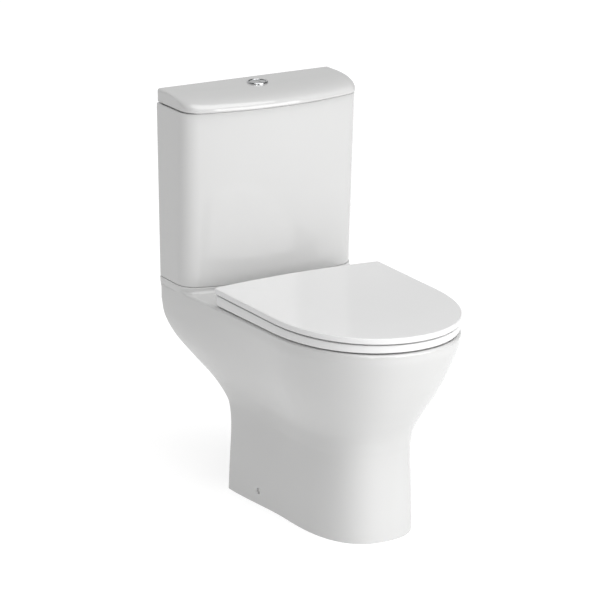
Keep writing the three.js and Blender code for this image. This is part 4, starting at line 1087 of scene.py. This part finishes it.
def place_camera():
    """The photograph's viewing angle, fitted to the object's edges in it."""
    azimuth = math.radians(-30.06)
    elevation = math.radians(17.02)
    distance = 5.944
    target = Vector((0, 0.0998, 0.3804))
    back = Vector((math.sin(azimuth) * math.cos(elevation), -math.cos(azimuth) * math.cos(elevation),
                   math.sin(elevation)))
    right = Vector((math.cos(azimuth), math.sin(azimuth), 0))
    up = back.cross(right)
    camera = bpy.data.objects.new("camera", bpy.data.cameras.new("camera"))
    axes = Matrix((right, up, back)).transposed()
    camera.matrix_world = Matrix.Translation(target + back * distance) @ axes.to_4x4()
    camera.data.sensor_width = 36
    camera.data.lens = 189.8
    camera.data.shift_x = -0.0029
    camera.data.shift_y = -0.0006
    camera.data.clip_end = 50
    bpy.context.scene.collection.objects.link(camera)
    bpy.context.scene.camera = camera


place_camera()


# ---- Floor and light ----

# The floor glows, so that it comes out white.
FLOOR_GLOW = 0.78
FLOOR_HALF = 12000
FLOOR_Z = -0.5

# How bright the room is round the object, and straight behind it.
DARK_ROOM = 0.05
BACKDROP = 0.65


def make_floor():
    corners = [(-FLOOR_HALF, -FLOOR_HALF), (FLOOR_HALF, -FLOOR_HALF),
               (FLOOR_HALF, FLOOR_HALF), (-FLOOR_HALF, FLOOR_HALF)]
    floor = piece_from("floor", [(x, y, FLOOR_Z) for x, y in corners], [(0, 1, 2, 3)])
    material, nodes, links, shader = new_material("pale_floor")
    patches = noise(nodes, links, 2, detail=2)
    colour = tint(nodes, links, patches, dark=(0.29, 0.29, 0.29), light=(0.30, 0.30, 0.30))
    links.new(colour, shader.inputs["Base Color"])
    shader.inputs["Roughness"].default_value = 0.9
    shader.inputs["Emission Color"].default_value = (1, 1, 1, 1)
    shader.inputs["Emission Strength"].default_value = FLOOR_GLOW
    floor.data.materials.append(material)


def softbox(name, place, aim, size, power):
    light = bpy.data.lights.new(name, "AREA")
    light.shape = "RECTANGLE"
    light.size, light.size_y = size
    light.energy = power
    lamp = bpy.data.objects.new(name, light)
    lamp.location = place
    lamp.rotation_euler = (Vector(aim) - Vector(place)).to_track_quat("-Z", "Y").to_euler()
    bpy.context.scene.collection.objects.link(lamp)


def sun(name, direction, strength, spread_degrees):
    light = bpy.data.lights.new(name, "SUN")
    light.energy = strength
    light.angle = math.radians(spread_degrees)
    lamp = bpy.data.objects.new(name, light)
    lamp.rotation_euler = Vector(direction).to_track_quat("-Z", "Y").to_euler()
    bpy.context.scene.collection.objects.link(lamp)


def light_scene():
    """A wide overhead sun, two softboxes in front and a room that is brighter behind the object."""
    world = bpy.data.worlds.new("studio")
    world.use_nodes = True
    nodes = world.node_tree.nodes
    links = world.node_tree.links
    split = nodes.new("ShaderNodeSeparateXYZ")
    links.new(nodes.new("ShaderNodeTexCoord").outputs["Generated"], split.inputs["Vector"])
    towards_back = nodes.new("ShaderNodeMapRange")
    towards_back.inputs["From Min"].default_value = 0.3
    towards_back.inputs["From Max"].default_value = 0.9
    towards_back.inputs["To Min"].default_value = DARK_ROOM
    towards_back.inputs["To Max"].default_value = BACKDROP
    links.new(split.outputs["Y"], towards_back.inputs["Value"])
    nodes["Background"].inputs["Color"].default_value = (1, 1, 1, 1)
    links.new(towards_back.outputs["Result"], nodes["Background"].inputs["Strength"])
    bpy.context.scene.world = world
    sun("overhead", direction=(0.05, 0.36, -1), strength=2.65, spread_degrees=60)
    softbox("key", place=(0.9, -2.7, 1.05), aim=(0, 0, 0.42), size=(2.2, 1.5), power=58)
    softbox("corner", place=(-1.7, -2.3, 1.5), aim=(0, 0.2, 0.6), size=(0.5, 0.5), power=5)
    bpy.context.scene.view_settings.view_transform = "Standard"


make_floor()
light_scene()
